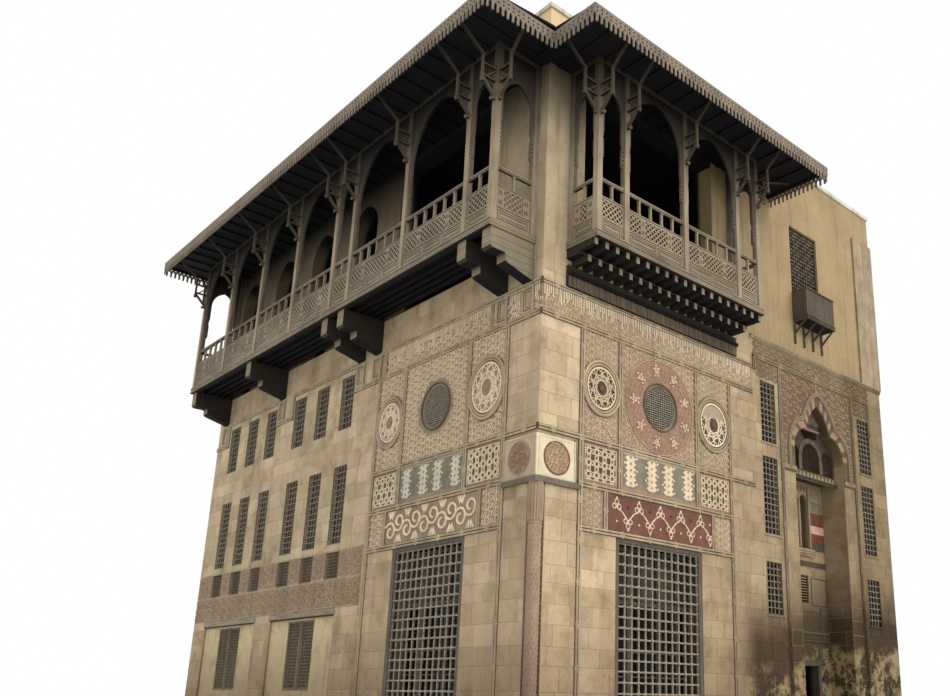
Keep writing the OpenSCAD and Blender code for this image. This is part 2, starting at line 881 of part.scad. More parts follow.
// Boards with sunk fields: a thick frame on a thin core
field_pitch = 760;
stile = 55;
module panels_2d(a, b) {
    rect(a, deck_z, b, panel_top);
}

module panel_frames_2d(a, b) {
    n = max(1, round((b - a) / field_pitch));
    step = (b - a - stile) / n;
    difference() {
        panels_2d(a, b);
        for (i = [0:n - 1])
            rect(a + stile + i * step, deck_z + stile, a + (i + 1) * step, panel_top - stile);
    }
}

module panels(xs, out) {
    t = 56;
    core = 28;
    translate([0, -out + (post - t) / 2, 0]) plate(t) bays_2d(xs) panel_frames_2d($a, $b);
    translate([0, -out + (post - core) / 2, 0]) plate(core) bays_2d(xs) panels_2d($a, $b);
    stand_returns(xs, out, t) panel_frames_2d($a, $b);
    stand_returns(xs, out, core) panels_2d($a, $b);
}

module edge_beam(xs, out) {
    a = xs[0] - post / 2 - 20;
    b = xs[len(xs) - 1] + post / 2 + 20;
    w = post + 20;
    translate([a, -out - 20, lower_z]) cube([b - a, w, edge_h]);
    for (x = [a, b - w]) translate([x, -out - 20 + w, lower_z]) cube([w, out + 20 - w, edge_h]);
}

module deck(xs, out) {
    a = xs[0] - post / 2 - 20;
    b = xs[len(xs) - 1] + post / 2 + 20;
    w = post + 20;
    translate([a + w, -out - 20 + w, deck_z - deck_t]) cube([b - a - 2 * w, out + 20 - w, deck_t]);
}

// A bracket: foot on the post, hanger, rungs, and the strut to the eave
module strut_2d(reach) {
    foot = soffit_z - strut_foot;
    hang_z = foot + strut_rise;
    top_z = soffit_z - strut_top;
    bar([0, foot], [strut_out, hang_z], 55);
    bar([strut_out, hang_z - 60], [strut_out, top_z + 20], 50);
    for (z = [hang_z + 40, hang_z + 330]) bar([0, z], [strut_out, z], 40);
    bar([strut_out - 20, top_z - 30], [reach, soffit_z], 50);
    bar([0, hang_z + 300], [strut_out * 0.7, hang_z + 60], 30);
    disc(0, foot, 62, 10);
    disc(strut_out, hang_z - 50, 46, 10);
}

module strut(reach, t = 60) {
    rotate([90, 0, 90]) translate([0, 0, -t / 2]) linear_extrude(t) mirror([1, 0]) intersection() {
        strut_2d(reach);
        rect(0, deck_z, reach + 100, soffit_z);
    }
}

module struts(xs, out, reach, end_reach) {
    for (x = xs) translate([x, -out, 0]) strut(reach);
    first = xs[0] - post / 2;
    last = xs[len(xs) - 1] + post / 2;
    translate([first, -out + post / 2, 0]) rotate([0, 0, -90]) strut(end_reach[0]);
    translate([last, -out + post / 2, 0]) rotate([0, 0, 90]) strut(end_reach[1]);
}

// The canopy: a flat boarded soffit and a sloping roof over it
module canopy(a, b, eave) {
    translate([a, 0, 0]) rotate([90, 0, 90]) linear_extrude(b - a) {
        rect(-eave, soffit_z, 0, soffit_z + soffit_t);
        polygon([[-eave, soffit_z + eave_rise], [0, soffit_z + roof_rise - roof_board],
            [0, soffit_z + roof_rise], [-eave, soffit_z + eave_rise + roof_board]]);
        rect(-eave, soffit_z, -eave + 60, soffit_z + eave_rise + roof_board * 0.5);
    }
}

// One tooth of a fascia: shoulders, then a turned pendant, as shares of its width and length
tooth = [[0.16, 0], [0.16, 0.16], [0.3, 0.24], [0.3, 0.88], [0.5, 1], [0.7, 0.88], [0.7, 0.24],
    [0.84, 0.16], [0.84, 0]];

// A pierced board with teeth, drawn from 0 to w
module fascia_2d(w) {
    n = floor(w / tooth_pitch);
    pitch = w / n;
    difference() {
        rect(0, -fascia_h, w, 0);
        for (i = [0:n - 1], share = [0.38, 0.76])
            translate([(i + 0.5) * pitch, -fascia_h * share]) rotate(45)
                square(fascia_hole, center = true);
    }
    for (i = [0:n - 1]) translate([i * pitch, -fascia_h])
        polygon([for (p = tooth) [pitch * p[0], -tooth_l * p[1]]]);
}

// A run of fascia boards of length w, butted with a thin joint between them
module fascia(from, angle, w) {
    n = ceil(w / board_max);
    board_w = w / n;
    translate([from[0], from[1], fascia_top]) rotate([0, 0, angle]) rotate([90, 0, 0])
        linear_extrude(fascia_t) for (k = [0:n - 1])
            translate([k * board_w + board_gap / 2, 0]) fascia_2d(board_w - board_gap);
}

// Left gallery
module corbel(x) {
    nose = left_out - 440;
    end = left_out - 40;
    top = lower_z - corbel_h;
    translate([x - corbel_w / 2, 0, 0]) rotate([90, 0, 90]) linear_extrude(corbel_w)
        polygon([[0, lower_z], [-end, lower_z], [-end, top + 50], [60 - end, top], [-nose - 30, top],
            [-nose, top - 30], [-nose, top - 170], [70 - nose, top - 210], [0, lower_z - corbel_d]]);
}

module left_corbels() {
    color(timber) on_left() for (x = corbel_at) corbel(x);
}

module left_deck() {
    color(timber) on_left() {
        edge_beam(left_x, left_out);
        deck(left_x, left_out);
        for (k = [1:4]) translate([left_first + post, -left_out + post + k * left_out / 6, lower_z])
            cube([left_last - left_first - 2 * post, 90, deck_z - deck_t - lower_z]);
    }
}

module left_posts() {
    color(timber) on_left() {
        posts(left_x, left_out);
        wall_plate(left_x, left_out);
    }
}

module left_arches() {
    color(timber) on_left() arches(left_x, left_out);
}

module left_rails() {
    color(timber) on_left() rails(left_x, left_out);
}

module left_panels() {
    color(timber) on_left() panels(left_x, left_out);
}

module lattice_run(xs, out) {
    t = 30;
    translate([0, -out + (post - t) / 2, 0]) plate(t) bays_2d(xs) lattice_2d($a, $b);
}

module lattice_return(x, out) {
    t = 30;
    translate([x + t / 2, 0, 0]) rotate([90, 0, -90]) linear_extrude(t) return_2d(out) lattice_2d($a, $b);
}

left_split = 4;
module left_lattice_near() {
    color(timber) on_left() {
        lattice_run([for (i = [left_split:len(left_x) - 1]) left_x[i]], left_out);
        lattice_return(left_last, left_out);
    }
}

module left_lattice_far() {
    color(timber) on_left() {
        lattice_run([for (i = [0:left_split]) left_x[i]], left_out);
        lattice_return(left_first, left_out);
    }
}

module left_struts() {
    color(timber) on_left() struts(left_x, left_out, left_eave - left_out - 60,
        [left_far_eave - 150, left_end_eave - 100]);
}

module left_canopy() {
    color(dark_timber) difference() {
        on_left() canopy(left_roof_a, left_roof_b, left_eave);
        translate([right_roof_a, -right_eave, soffit_z - 1]) cube([left_eave, right_eave, parapet_h]);
    }
}

module left_fascia() {
    color(timber) {
        on_left() fascia([left_roof_a - fascia_t, -left_eave], 0, left_roof_b - left_roof_a + 2 * fascia_t);
        fascia([-left_eave, -left_roof_b], 0, left_eave + right_roof_a - fascia_t);
        translate([0, -left_roof_a + fascia_t, 0]) fascia([-left_eave, 0], 0, left_eave);
    }
}

// Right gallery: two tiers of joists on a ledger, and a strip of boards on the wall below them
joist_pitch = 300;
joist_w = 100;
joist_h = 150;
joist_in = 420;
ledger_t = 60;
ledger_in = 500;
base_beam_h = 70;
base_beam_w = 150;
base_board = 80;
base_strip = 260;
module right_joists() {
    a = right_first - post / 2;
    w = right_last - right_first + post;
    n = floor((w - joist_w) / joist_pitch);
    pitch = (w - joist_w) / n;
    ledger_z = lower_z - joist_h - ledger_t;
    low = ledger_z - joist_h;
    foot = band_levels[4] + moulding;
    color(timber) {
        for (i = [0:n]) translate([a + i * pitch, -right_out + 60, lower_z - joist_h])
            cube([joist_w, right_out - 60, joist_h]);
        for (i = [0:n - 1]) translate([a + (i + 0.5) * pitch, -right_out + joist_in, low])
            cube([joist_w, right_out - joist_in, joist_h]);
        translate([a, -right_out + ledger_in, ledger_z]) cube([w, right_out - ledger_in, ledger_t]);
        translate([a, -base_board, foot]) cube([w, base_board, low - foot]);
        translate([a, -base_beam_w, foot + base_strip]) cube([w, base_beam_w, base_beam_h]);
    }
}

module right_deck() {
    color(timber) {
        edge_beam(right_x, right_out);
        deck(right_x, right_out);
    }
}

module right_posts() {
    color(timber) {
        posts(right_x, right_out);
        wall_plate(right_x, right_out);
    }
}

module right_arches() {
    color(timber) arches(right_x, right_out);
}

module right_rails() {
    color(timber) rails(right_x, right_out);
}

module right_panels() {
    color(timber) panels(right_x, right_out);
}

module right_lattice() {
    color(timber) {
        lattice_run(right_x, right_out);
        lattice_return(right_first, right_out);
        lattice_return(right_last, right_out);
    }
}

module right_struts() {
    color(timber) struts(right_x, right_out, right_eave - right_out - 60,
        [right_near_eave - 150, right_far_eave - 300]);
}

module right_canopy() {
    color(dark_timber) canopy(right_roof_a, right_roof_b, right_eave);
}

module right_fascia() {
    color(timber) {
        fascia([right_roof_a - fascia_t, -right_eave], 0, right_roof_b - right_roof_a + 2 * fascia_t);
        translate([right_roof_a, 0, 0]) fascia([0, -left_roof_b], -90, right_eave - left_roof_b);
        translate([right_roof_b + fascia_t, 0, 0]) fascia([0, 0], -90, right_eave);
    }
}

// The building stands centred over the origin
far_y = max(side_d + coping_lip, fascia_t - left_roof_a);
centre = [(front_w + coping_lip - left_eave - fascia_t) / 2, (far_y - right_eave - fascia_t) / 2];
module placed() {
    translate([-centre[0], -centre[1], 0]) children();
}

placed() ground_floor();
placed() wing_floors();
placed() gallery_floor();
placed() roof_slab();
placed() coping();
placed() left_corner_wall();
placed() left_corner_wall_top();
placed() left_wing_wall();
placed() right_corner_wall();
placed() portal_wall();
placed() right_end_wall();
placed() back_wall();
placed() far_side_wall();
placed() corner_pier();
placed() end_quoin();
placed() loggia_heads();
placed() upper_left_piers();
placed() upper_left_wall();
placed() upper_right_wall();
placed() upper_back_wall();
placed() upper_far_side_wall();
placed() upper_shutters();
placed() corner_column();
placed() corner_ledge();
placed() corner_panels();
placed() left_mouldings();
placed() right_mouldings();
placed() portal_hood();
placed() portal_vault();
placed() left_big_grille();
placed() right_big_grille();
placed() round_grilles();
placed() big_window_frames();
placed() window_frames();
placed() ground_window_frames();
placed() lattice_window();
placed() box_balcony();
placed() left_corbels();
placed() left_deck();
placed() left_posts();
placed() left_arches();
placed() left_rails();
placed() left_panels();
placed() left_lattice_near();
placed() left_lattice_far();
placed() left_struts();
placed() left_canopy();
placed() left_fascia();
placed() right_joists();
placed() right_deck();
placed() right_posts();
placed() right_arches();
placed() right_rails();
placed() right_panels();
placed() right_lattice();
placed() right_struts();
placed() right_canopy();
placed() right_fascia();
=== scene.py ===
"""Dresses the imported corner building: stone courses, carving, inlay, bars, balls, boards and finishes."""
import math
import random

import bmesh
import bpy
from bpy.props import FloatProperty, FloatVectorProperty, IntProperty, PointerProperty
from mathutils import Matrix, Vector


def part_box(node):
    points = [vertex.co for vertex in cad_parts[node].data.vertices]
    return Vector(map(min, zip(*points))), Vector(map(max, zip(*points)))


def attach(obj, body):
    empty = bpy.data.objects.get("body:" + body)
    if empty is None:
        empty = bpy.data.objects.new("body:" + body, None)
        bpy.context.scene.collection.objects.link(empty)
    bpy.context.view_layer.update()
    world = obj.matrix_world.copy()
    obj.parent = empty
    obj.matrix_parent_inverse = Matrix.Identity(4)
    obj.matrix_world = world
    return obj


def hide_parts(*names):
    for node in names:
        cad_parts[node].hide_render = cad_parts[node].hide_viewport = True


bl_info = {
    "name": "Carved corner building",
    "version": (1, 0, 0),
    "blender": (4, 5, 0),
    "location": "3D View > Sidebar > Facade",
    "description": "Stone, timber and iron dressing for a corner building with two lattice galleries",
    "category": "Object",
}

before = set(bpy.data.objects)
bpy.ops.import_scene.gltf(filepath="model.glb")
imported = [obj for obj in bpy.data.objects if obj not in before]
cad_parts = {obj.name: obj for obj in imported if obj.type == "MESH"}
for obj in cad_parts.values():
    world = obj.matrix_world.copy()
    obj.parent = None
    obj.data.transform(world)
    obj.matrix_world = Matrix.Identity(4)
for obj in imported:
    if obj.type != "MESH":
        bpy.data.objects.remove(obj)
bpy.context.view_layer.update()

# Lengths are in metres. A front is drawn as seen from outside: x runs right, z up, and out is off the wall.
LIP = 0.04
SILL_LOW, SILL_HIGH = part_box("coping")
CORNER = Vector((SILL_LOW.x + LIP, SILL_LOW.y + LIP, 0.0))
WIDTH = SILL_HIGH.x - LIP - CORNER.x
DEPTH = SILL_HIGH.y - LIP - CORNER.y
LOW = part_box("right_corner_wall")[1].z
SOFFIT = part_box("left_canopy")[0].z
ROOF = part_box("roof_slab")[1].z
FRONTS = {
    "right": Matrix.Translation(CORNER),
    "left": Matrix.Translation(CORNER) @ Matrix.Rotation(-math.pi / 2, 4, "Z"),
    "far": Matrix.Translation(CORNER + Vector((WIDTH, 0, 0))) @ Matrix.Rotation(math.pi / 2, 4, "Z"),
    "back": Matrix.Translation(CORNER + Vector((WIDTH, DEPTH, 0))) @ Matrix.Rotation(math.pi, 4, "Z"),
}
LEVELS = (4.80, 5.70, 6.67, 9.12, 9.81)
ROUND_Z = (LEVELS[2] + LEVELS[3]) / 2
FIELDS = {"left": (-6.17, -4.98, -2.39, -1.08), "right": (1.12, 2.26, 4.80, 6.06)}
MIDDLE = {"left": -3.605, "right": 3.58}
ROLL, BAND_IN = 0.07, 0.74
ROUND_R, ROUNDEL_TALL, DISC_R = 0.52, 1.1, 1.13
BIG_W, BIG_SILL, BIG_HEAD = 2.76, 0.90, 4.80
PORTAL_X, PORTAL_W, PORTAL_IN, IMPOST = 10.06, 2.37, 0.76, 7.45
PORTAL_LINE = PORTAL_W / 2 + 0.6
# Ends of the frame over the portal block, and where upright rolls start over the ground
FRAME, FOOT = (7.15, 12.83), 0.045
CORNER_END = 6.30
RIGHT_END = 7.05


def on_wing(*shares):
    """Places along the side wing, as shares of its length from the corner part."""
    return [-(CORNER_END + share * (DEPTH - CORNER_END)) for share in shares]


WING = on_wing(0.8636, 0.7323, 0.6010, 0.4212, 0.2869, 0.1505)
WING_ROWS = ((4.35, 4.98), (5.21, 7.19), (8.22, 9.62))
SIDE = (8.05 - 0.31, 12.015 + 0.145 + 0.31)
SIDE_ROWS = ((3.59, 4.86), (5.56, 7.54), (7.93, 9.55))
WINDOW_W = 0.62
GROUND = on_wing(0.7374, 0.2929)
RECESSES = (on_wing(0.9121, 0.5667), on_wing(0.4657, 0.1172))
STEPS = on_wing(0.110, 0.470, 0.564, 0.919)
GROUND_SILL, GROUND_HEAD, LINTEL = 1.65, 3.37, (3.42, 3.57)
BACK_COLS = (2.2, 4.6, 9.0, 11.4)
LEFT_POSTS = [-15.8, -13.6, -11.4, -9.2, -7.0, -6.1, -3.67, -1.24, -0.34]
RIGHT_POSTS = [0.71, 1.535, 3.505, 5.475, 6.3]
GALLERIES = {"left": (LEFT_POSTS, 1.20), "right": (RIGHT_POSTS, 0.93)}
CORBELS = [LEFT_POSTS[0] + 0.15, LEFT_POSTS[2] - 0.25, LEFT_POSTS[4] - 0.16, LEFT_POSTS[5] - 0.25,
           LEFT_POSTS[7] - 0.04, LEFT_POSTS[8] - 0.08]
DECK, PANEL_TOP, LATTICE_TOP, MID_RAIL, RAIL = 10.91, 11.24, 11.71, 11.77, 12.165
POST = 0.14
STRUT_FOOT, HANGER, HANGER_OUT = SOFFIT - 1.39, SOFFIT - 1.03, 0.35
HIGH_WINDOW, BOX_OUT, BOX_Z = (9.12, 10.49), 0.46, (11.67, 12.61)


# Values a user would change
class StoneSettings(bpy.types.PropertyGroup):
    course: FloatProperty(name="Course height", description="Mean height of a course of stone", default=0.42,
                          min=0.25, max=0.6, unit="LENGTH")
    block: FloatProperty(name="Block length", description="Mean length of a block", default=0.72,
                         min=0.4, max=1.2, unit="LENGTH")
    joint: FloatProperty(name="Joint", description="Width of the open joints", default=0.009,
                         min=0.003, max=0.02, unit="LENGTH")
    relief: FloatProperty(name="Relief", description="How far a block stands out of its joints",
                          default=0.006, min=0.003, max=0.02, unit="LENGTH")
    light: FloatVectorProperty(name="Light block", description="Colour of the palest blocks", subtype="COLOR",
                               size=3, default=(0.69, 0.54, 0.35))
    dark: FloatVectorProperty(name="Dark block", description="Colour of the darkest blocks", subtype="COLOR",
                              size=3, default=(0.34, 0.255, 0.155))


class CarvingSettings(bpy.types.PropertyGroup):
    pitch: FloatProperty(name="Scroll pitch", description="Spacing of the carved scrolls", default=0.082,
                         min=0.08, max=0.3, unit="LENGTH")
    rise: FloatProperty(name="Carving depth", description="How far the scrolls stand off their ground",
                        default=0.018, min=0.005, max=0.03, unit="LENGTH")
    strap: FloatProperty(name="Strap width", description="Width of the interlaced straps", default=0.016,
                         min=0.01, max=0.04, unit="LENGTH")


class IronSettings(bpy.types.PropertyGroup):
    ball: FloatProperty(name="Ball joint", description="Radius of the ball at each crossing of a big grille",
                        default=0.036, min=0.02, max=0.05, unit="LENGTH")
    cell: FloatProperty(name="Small cell", description="Spacing of the bars of the tall windows",
                        default=0.152, min=0.1, max=0.2, unit="LENGTH")
    bar: FloatProperty(name="Small bar", description="Width of the bars of the tall windows", default=0.024,
                       min=0.01, max=0.03, unit="LENGTH")


class TimberSettings(bpy.types.PropertyGroup):
    bead: FloatProperty(name="Bead", description="Width of the beads on rails and beams", default=0.028,
                        min=0.015, max=0.05, unit="LENGTH")
    joist: FloatProperty(name="Joist pitch", description="Spacing of the joists under the canopies",
                         default=0.55, min=0.35, max=0.9, unit="LENGTH")
    baluster_gap: FloatProperty(name="Lattice cell", description="Diagonal of a cell of the fine lattices",
                                default=0.075, min=0.05, max=0.12, unit="LENGTH")
    fillet: FloatProperty(name="Fillet", description="Width of the fillets on the gallery lattices",
                          default=0.033, min=0.024, max=0.05, unit="LENGTH")


class StageSettings(bpy.types.PropertyGroup):
    sky: FloatProperty(name="Sky", description="Strength of the overcast sky overhead", default=1.68, min=0.1,
                       max=3)
    sun: FloatProperty(name="Sun", description="Strength of the soft light on the right front", default=1.5,
                       min=0, max=5)
    seed: IntProperty(name="Seed", description="Chooses the layout of the blocks", default=7, min=0, max=999)


# Mesh helpers
def settings(context, name):
    return getattr(context.scene, "facade_" + name)


def rgb(code):
    """An sRGB hex colour as linear values; a colour of the settings is linear already."""
    if not isinstance(code, str):
        return (*code, 1.0)
    parts = [int(code[i:i + 2], 16) / 255 for i in (1, 3, 5)]
    return (*(p / 12.92 if p <= 0.04045 else ((p + 0.055) / 1.055) ** 2.4 for p in parts), 1.0)


def paint(verts, index):
    for face in {f for v in verts for f in v.link_faces}:
        face.material_index = index


def slab(bm, x0, z0, x1, z1, back, front, index=0):
    """A box on a front, between two distances off the wall."""
    place = Matrix.Translation(((x0 + x1) / 2, -(back + front) / 2, (z0 + z1) / 2))
    size = Matrix.Diagonal((x1 - x0, front - back, z1 - z0, 1))
    made = bmesh.ops.create_cube(bm, size=1, matrix=place @ size)
    paint(made["verts"], index)
    return made["verts"]


def border(bm, x0, z0, x1, z1, w, back, front, index=0):
    """A flat frame of width w inside a rectangle."""
    slab(bm, x0, z0, x1, z0 + w, back, front, index)
    slab(bm, x0, z1 - w, x1, z1, back, front, index)
    slab(bm, x0, z0 + w, x0 + w, z1 - w, back, front, index)
    slab(bm, x1 - w, z0 + w, x1, z1 - w, back, front, index)


def strap(bm, p, q, w, back, front, index=0):
    """A flat strap of width w from point p to point q of a front."""
    dx, dz = q[0] - p[0], q[1] - p[1]
    place = Matrix.Translation(((p[0] + q[0]) / 2, -(back + front) / 2, (p[1] + q[1]) / 2))
    place = place @ Matrix.Rotation(-math.atan2(dz, dx), 4, "Y")
    size = Matrix.Diagonal((math.hypot(dx, dz) + w * 0.6, front - back, w, 1))
    paint(bmesh.ops.create_cube(bm, size=1, matrix=place @ size)["verts"], index)


def rod(bm, p, q, radius, sides=8, index=0):
    """A round bar between two points (x, out, z)."""
    a, b = Vector((p[0], -p[1], p[2])), Vector((q[0], -q[1], q[2]))
    place = Matrix.Translation((a + b) / 2) @ (b - a).to_track_quat("Z", "Y").to_matrix().to_4x4()
    made = bmesh.ops.create_cone(bm, cap_ends=True, segments=sides, radius1=radius, radius2=radius,
                                 depth=(b - a).length, matrix=place)
    paint(made["verts"], index)


def disc(bm, x, z, radius, back, front, index=0, sides=48):
    """A round plate on a front."""
    place = Matrix.Translation((x, -(back + front) / 2, z)) @ Matrix.Rotation(math.pi / 2, 4, "X")
    made = bmesh.ops.create_cone(bm, cap_ends=True, segments=sides, radius1=radius, radius2=radius,
                                 depth=front - back, matrix=place)
    paint(made["verts"], index)


def hoop(bm, x, z, radius, profile, index=0, steps=48):
    """A profile of (distance from radius, out) points turned all round a centre on a front."""
    verts = [bm.verts.new((x + radius + d, -out, z)) for d, out in profile]
    edges = [bm.edges.new((a, b)) for a, b in zip(verts, verts[1:] + verts[:1])]
    bmesh.ops.spin(bm, geom=verts + edges, cent=(x, 0, z), axis=(0, 1, 0), angle=2 * math.pi, steps=steps,
                   use_merge=True, use_duplicate=False)
    faces = [f for v in verts for f in v.link_faces]
    shell = set(faces)
    while faces:
        for edge in faces.pop().edges:
            for face in edge.link_faces:
                if face not in shell:
                    shell.add(face)
                    faces.append(face)
    for face in shell:
        face.material_index = index
    bmesh.ops.recalc_face_normals(bm, faces=list(shell))


def tube_profile(radius, out, sides=6):
    """Points of a round roll whose axis stands off the wall."""
    return [(radius * math.cos(2 * math.pi * k / sides), out + radius * math.sin(2 * math.pi * k / sides))
            for k in range(sides)]


def master(bm, name):
    """Keeps a finished ornament as a mesh that stamp() copies."""
    mesh = bpy.data.meshes.new(name)
    bm.to_mesh(mesh)
    bm.free()
    return mesh


def stamp(bm, mesh, x, z, out=0.0, scale=1.0, turn=0.0, flip=False, index=0):
    """Copies an ornament on to a front."""
    place = (Matrix.Translation((x, -out, z)) @ Matrix.Rotation(turn, 4, "Y")
             @ Matrix.Diagonal((-scale if flip else scale, scale, scale, 1)))
    copy = mesh.copy()
    copy.transform(place)
    if flip:
        copy.flip_normals()
    copy.polygons.foreach_set("material_index", [index] * len(copy.polygons))
    bm.from_mesh(copy)
    bpy.data.meshes.remove(copy)


def piece(name, bm, finishes, front="right", smooth=None, replaces=()):
    """Turns a drawn front into an object that stands with the building."""
    if front:
        bmesh.ops.transform(bm, matrix=FRONTS[front], verts=bm.verts)
    mesh = bpy.data.meshes.new(name)
    bm.to_mesh(mesh)
    bm.free()
    for finish in finishes:
        mesh.materials.append(bpy.data.materials[finish])
    if smooth:
        mesh.shade_smooth()
        mesh.set_sharp_from_angle(angle=math.radians(smooth))
    obj = bpy.data.objects.new(name, mesh)
    bpy.context.scene.collection.objects.link(obj)
    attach(obj, "root")
    if replaces:
        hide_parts(*replaces)
    return obj


def clip(p, q, x0, z0, x1, z1):
    """The part of a segment inside a rectangle, or None."""
    t0, t1 = 0.0, 1.0
    dx, dz = q[0] - p[0], q[1] - p[1]
    for d, a in ((-dx, p[0] - x0), (dx, x1 - p[0]), (-dz, p[1] - z0), (dz, z1 - p[1])):
        if abs(d) < 1e-9:
            if a < 0:
                return None
        elif d < 0:
            t0 = max(t0, a / d)
        else:
            t1 = min(t1, a / d)
    if t1 - t0 < 1e-4:
        return None
    return (p[0] + t0 * dx, p[1] + t0 * dz), (p[0] + t1 * dx, p[1] + t1 * dz)


def star_lines(n, k, radius, x, z, turn=0.0):
    """The sides of a star polygon."""
    angles = [turn + 2 * math.pi * i / n for i in range(n)]
    tips = [(x + radius * math.cos(angle), z + radius * math.sin(angle)) for angle in angles]
    return [(tips[i], tips[(i + k) % n]) for i in range(n)]


def prism(bm, points, back, front, index=0):
    """A plate with any straight-sided outline, drawn on a front."""
    face = bm.faces.new([bm.verts.new((x, -back, z)) for x, z in points])
    face.normal_update()
    if face.normal.y > 0:
        face.normal_flip()
    top = bmesh.ops.extrude_discrete_faces(bm, faces=[face])["faces"][0]
    bmesh.ops.translate(bm, vec=(0, back - front, 0), verts=top.verts)
    paint(top.verts, index)


def apart(bm, draw, *args, place=None):
    """Draws in a small mesh of its own, which keeps each step quick, and adds the result at its place."""
    own = bmesh.new()
    draw(own, *args)
    if place:
        bmesh.ops.transform(own, matrix=place, verts=own.verts)
    mesh = master(own, "part")
    bm.from_mesh(mesh)
    bpy.data.meshes.remove(mesh)


def curl_mesh():
    """A carved tendril of radius 1: a ridge that winds inwards, with three leaves outside it."""
    bm = bmesh.new()
    verts = [bm.verts.new(c) for c in ((0.80, 0, 0), (1.0, -0.34, 0), (1.2, 0, 0))]
    edges = [bm.edges.new(pair) for pair in zip(verts, verts[1:])]
    turn = math.radians(325)
    bmesh.ops.spin(bm, geom=verts + edges, cent=(0, 0, 0), axis=(0, -1, 0), angle=turn, steps=9)
    for v in bm.verts:
        share = (math.atan2(v.co.z, v.co.x) % (2 * math.pi)) / turn
        v.co.x *= 0.86 - 0.66 * share
        v.co.z *= 0.86 - 0.66 * share
    for angle, reach, size in ((0.85, 0.95, 0.34), (2.4, 0.92, 0.30), (4.3, 0.80, 0.26)):
        place = (Matrix.Rotation(-angle, 4, "Y") @ Matrix.Translation((reach, -0.12, 0))
                 @ Matrix.Rotation(0.6, 4, "Y") @ Matrix.Rotation(math.pi / 2, 4, "X"))
        bmesh.ops.create_cone(bm, cap_ends=False, segments=4, radius1=size, radius2=0.02, depth=0.3,
                              matrix=place)
    bmesh.ops.recalc_face_normals(bm, faces=bm.faces)
    bm.normal_update()
    ridge = [f for f in bm.faces if f.normal.y > 0.05]
    bmesh.ops.reverse_faces(bm, faces=ridge)
    return master(bm, "curl")


def ball_mesh(detail=2):
    bm = bmesh.new()
    bmesh.ops.create_icosphere(bm, subdivisions=detail, radius=1)
    return master(bm, "ball")


def scrolls(bm, area, pitch, rise, index, skip=None, flow=0):
    """Fills a rectangle of a front with tendrils, each turned and mirrored against its neighbours."""
    x0, z0, x1, z1 = area
    curl = bpy.data.meshes["curl"]
    across, up = max(1, round((x1 - x0) / pitch)), max(1, round((z1 - z0) / pitch))
    wide, high = (x1 - x0) / across, (z1 - z0) / up
    for i in range(across):
        for j in range(up):
            x, z = x0 + (i + 0.5 + 0.5 * (j % 2)) * wide, z0 + (j + 0.5) * high
            if x > x1 - 0.4 * wide or skip and skip(x, z):
                continue
            turn = ((i + 2 * j + flow) % 4) * math.pi / 2 + 0.5
            stamp(bm, curl, x, z, rise * 0.2, 0.63 * min(wide, high), turn, (i + j) % 2 == 1, index)


def carved(bm, area, pitch, rise, ground, raised, skip=None, hole=None, flow=0):
    """A carved field: a sunk ground plate under its tendrils."""
    for r in cut(area, [hole] if hole else []):
        slab(bm, r[0], r[1], r[2], r[3], -0.004, 0.005, ground)
    apart(bm, scrolls, area, pitch, rise, raised, skip, flow)


def straps_in(bm, lines, area, w, back, front, index):
    """Straps clipped to a rectangle, each a little over or under those it crosses."""
    for k, (a, b) in enumerate(lines):
        part = clip(a, b, *area)
        if part:
            strap(bm, part[0], part[1], w, back, front - 0.0011 * (k % 8), index)


def star_panel(bm, area, pitch, w, cells, straps, edge):
    """Interlaced eight-pointed stars over dark cells, with a border."""
    x0, z0, x1, z1 = area
    slab(bm, x0, z0, x1, z1, -0.004, 0.006, edge)
    inner = (x0 + 0.07, z0 + 0.07, x1 - 0.07, z1 - 0.07)
    slab(bm, *inner, 0.004, 0.009, cells)
    across, up = round((inner[2] - inner[0]) / pitch), round((inner[3] - inner[1]) / pitch)
    wide, high = (inner[2] - inner[0]) / across, (inner[3] - inner[1]) / up
    for i in range(across):
        for j in range(up):
            x, z = inner[0] + (i + 0.5) * wide, inner[1] + (j + 0.5) * high
            lines = star_lines(8, 3, 0.6 * pitch, x, z, math.pi / 8)
            straps_in(bm, lines, inner, w, 0.006, 0.019, straps)
    border(bm, *inner, w * 0.8, 0.006, 0.021, straps)


def lobed_arch(m, steps=7):
    """Left half of the portal's three-lobed outline, grown by m, from its impost up to its point."""
    a = PORTAL_W / 2
    lobe = a * 0.52
    z0, half, rise = IMPOST + 1.6 * lobe, a / 2 + m, a * 0.85 + m * 1.3
    r = (half * half + rise * rise) / (2 * half)
    meet = 180.0
    while meet > 90:
        x = -(a - lobe) + (lobe + m) * math.cos(math.radians(meet))
        z = IMPOST + lobe + (lobe + m) * math.sin(math.radians(meet))
        if z > z0 and -x <= math.sqrt(max(r * r - (z - z0) ** 2, 0)) - r + half:
            break
        meet -= 0.5
    points = [(-a - m, IMPOST)]
    for k in range(steps + 1):
        angle = math.radians(180 + (meet - 180) * k / steps)
        reach = lobe + m
        points.append((lobe - a + reach * math.cos(angle), IMPOST + lobe + reach * math.sin(angle)))
    start, last = math.asin((points[-1][1] - z0) / r), math.asin(rise / r)
    for k in range(1, steps + 1):
        angle = start + (last - start) * k / steps
        points.append((-(r * math.cos(angle) - r + half), z0 + r * math.sin(angle)))
    return points


def tooth_column(x, z0, z1, wide, narrow, n):
    """The outline of a joggled stone: a column whose sides swell n times."""
    step = (z1 - z0) / (2 * n)
    right = [(x + (wide if k % 2 else narrow), z0 + k * step) for k in range(2 * n + 1)]
    return right + [(2 * x - px, pz) for px, pz in reversed(right)]


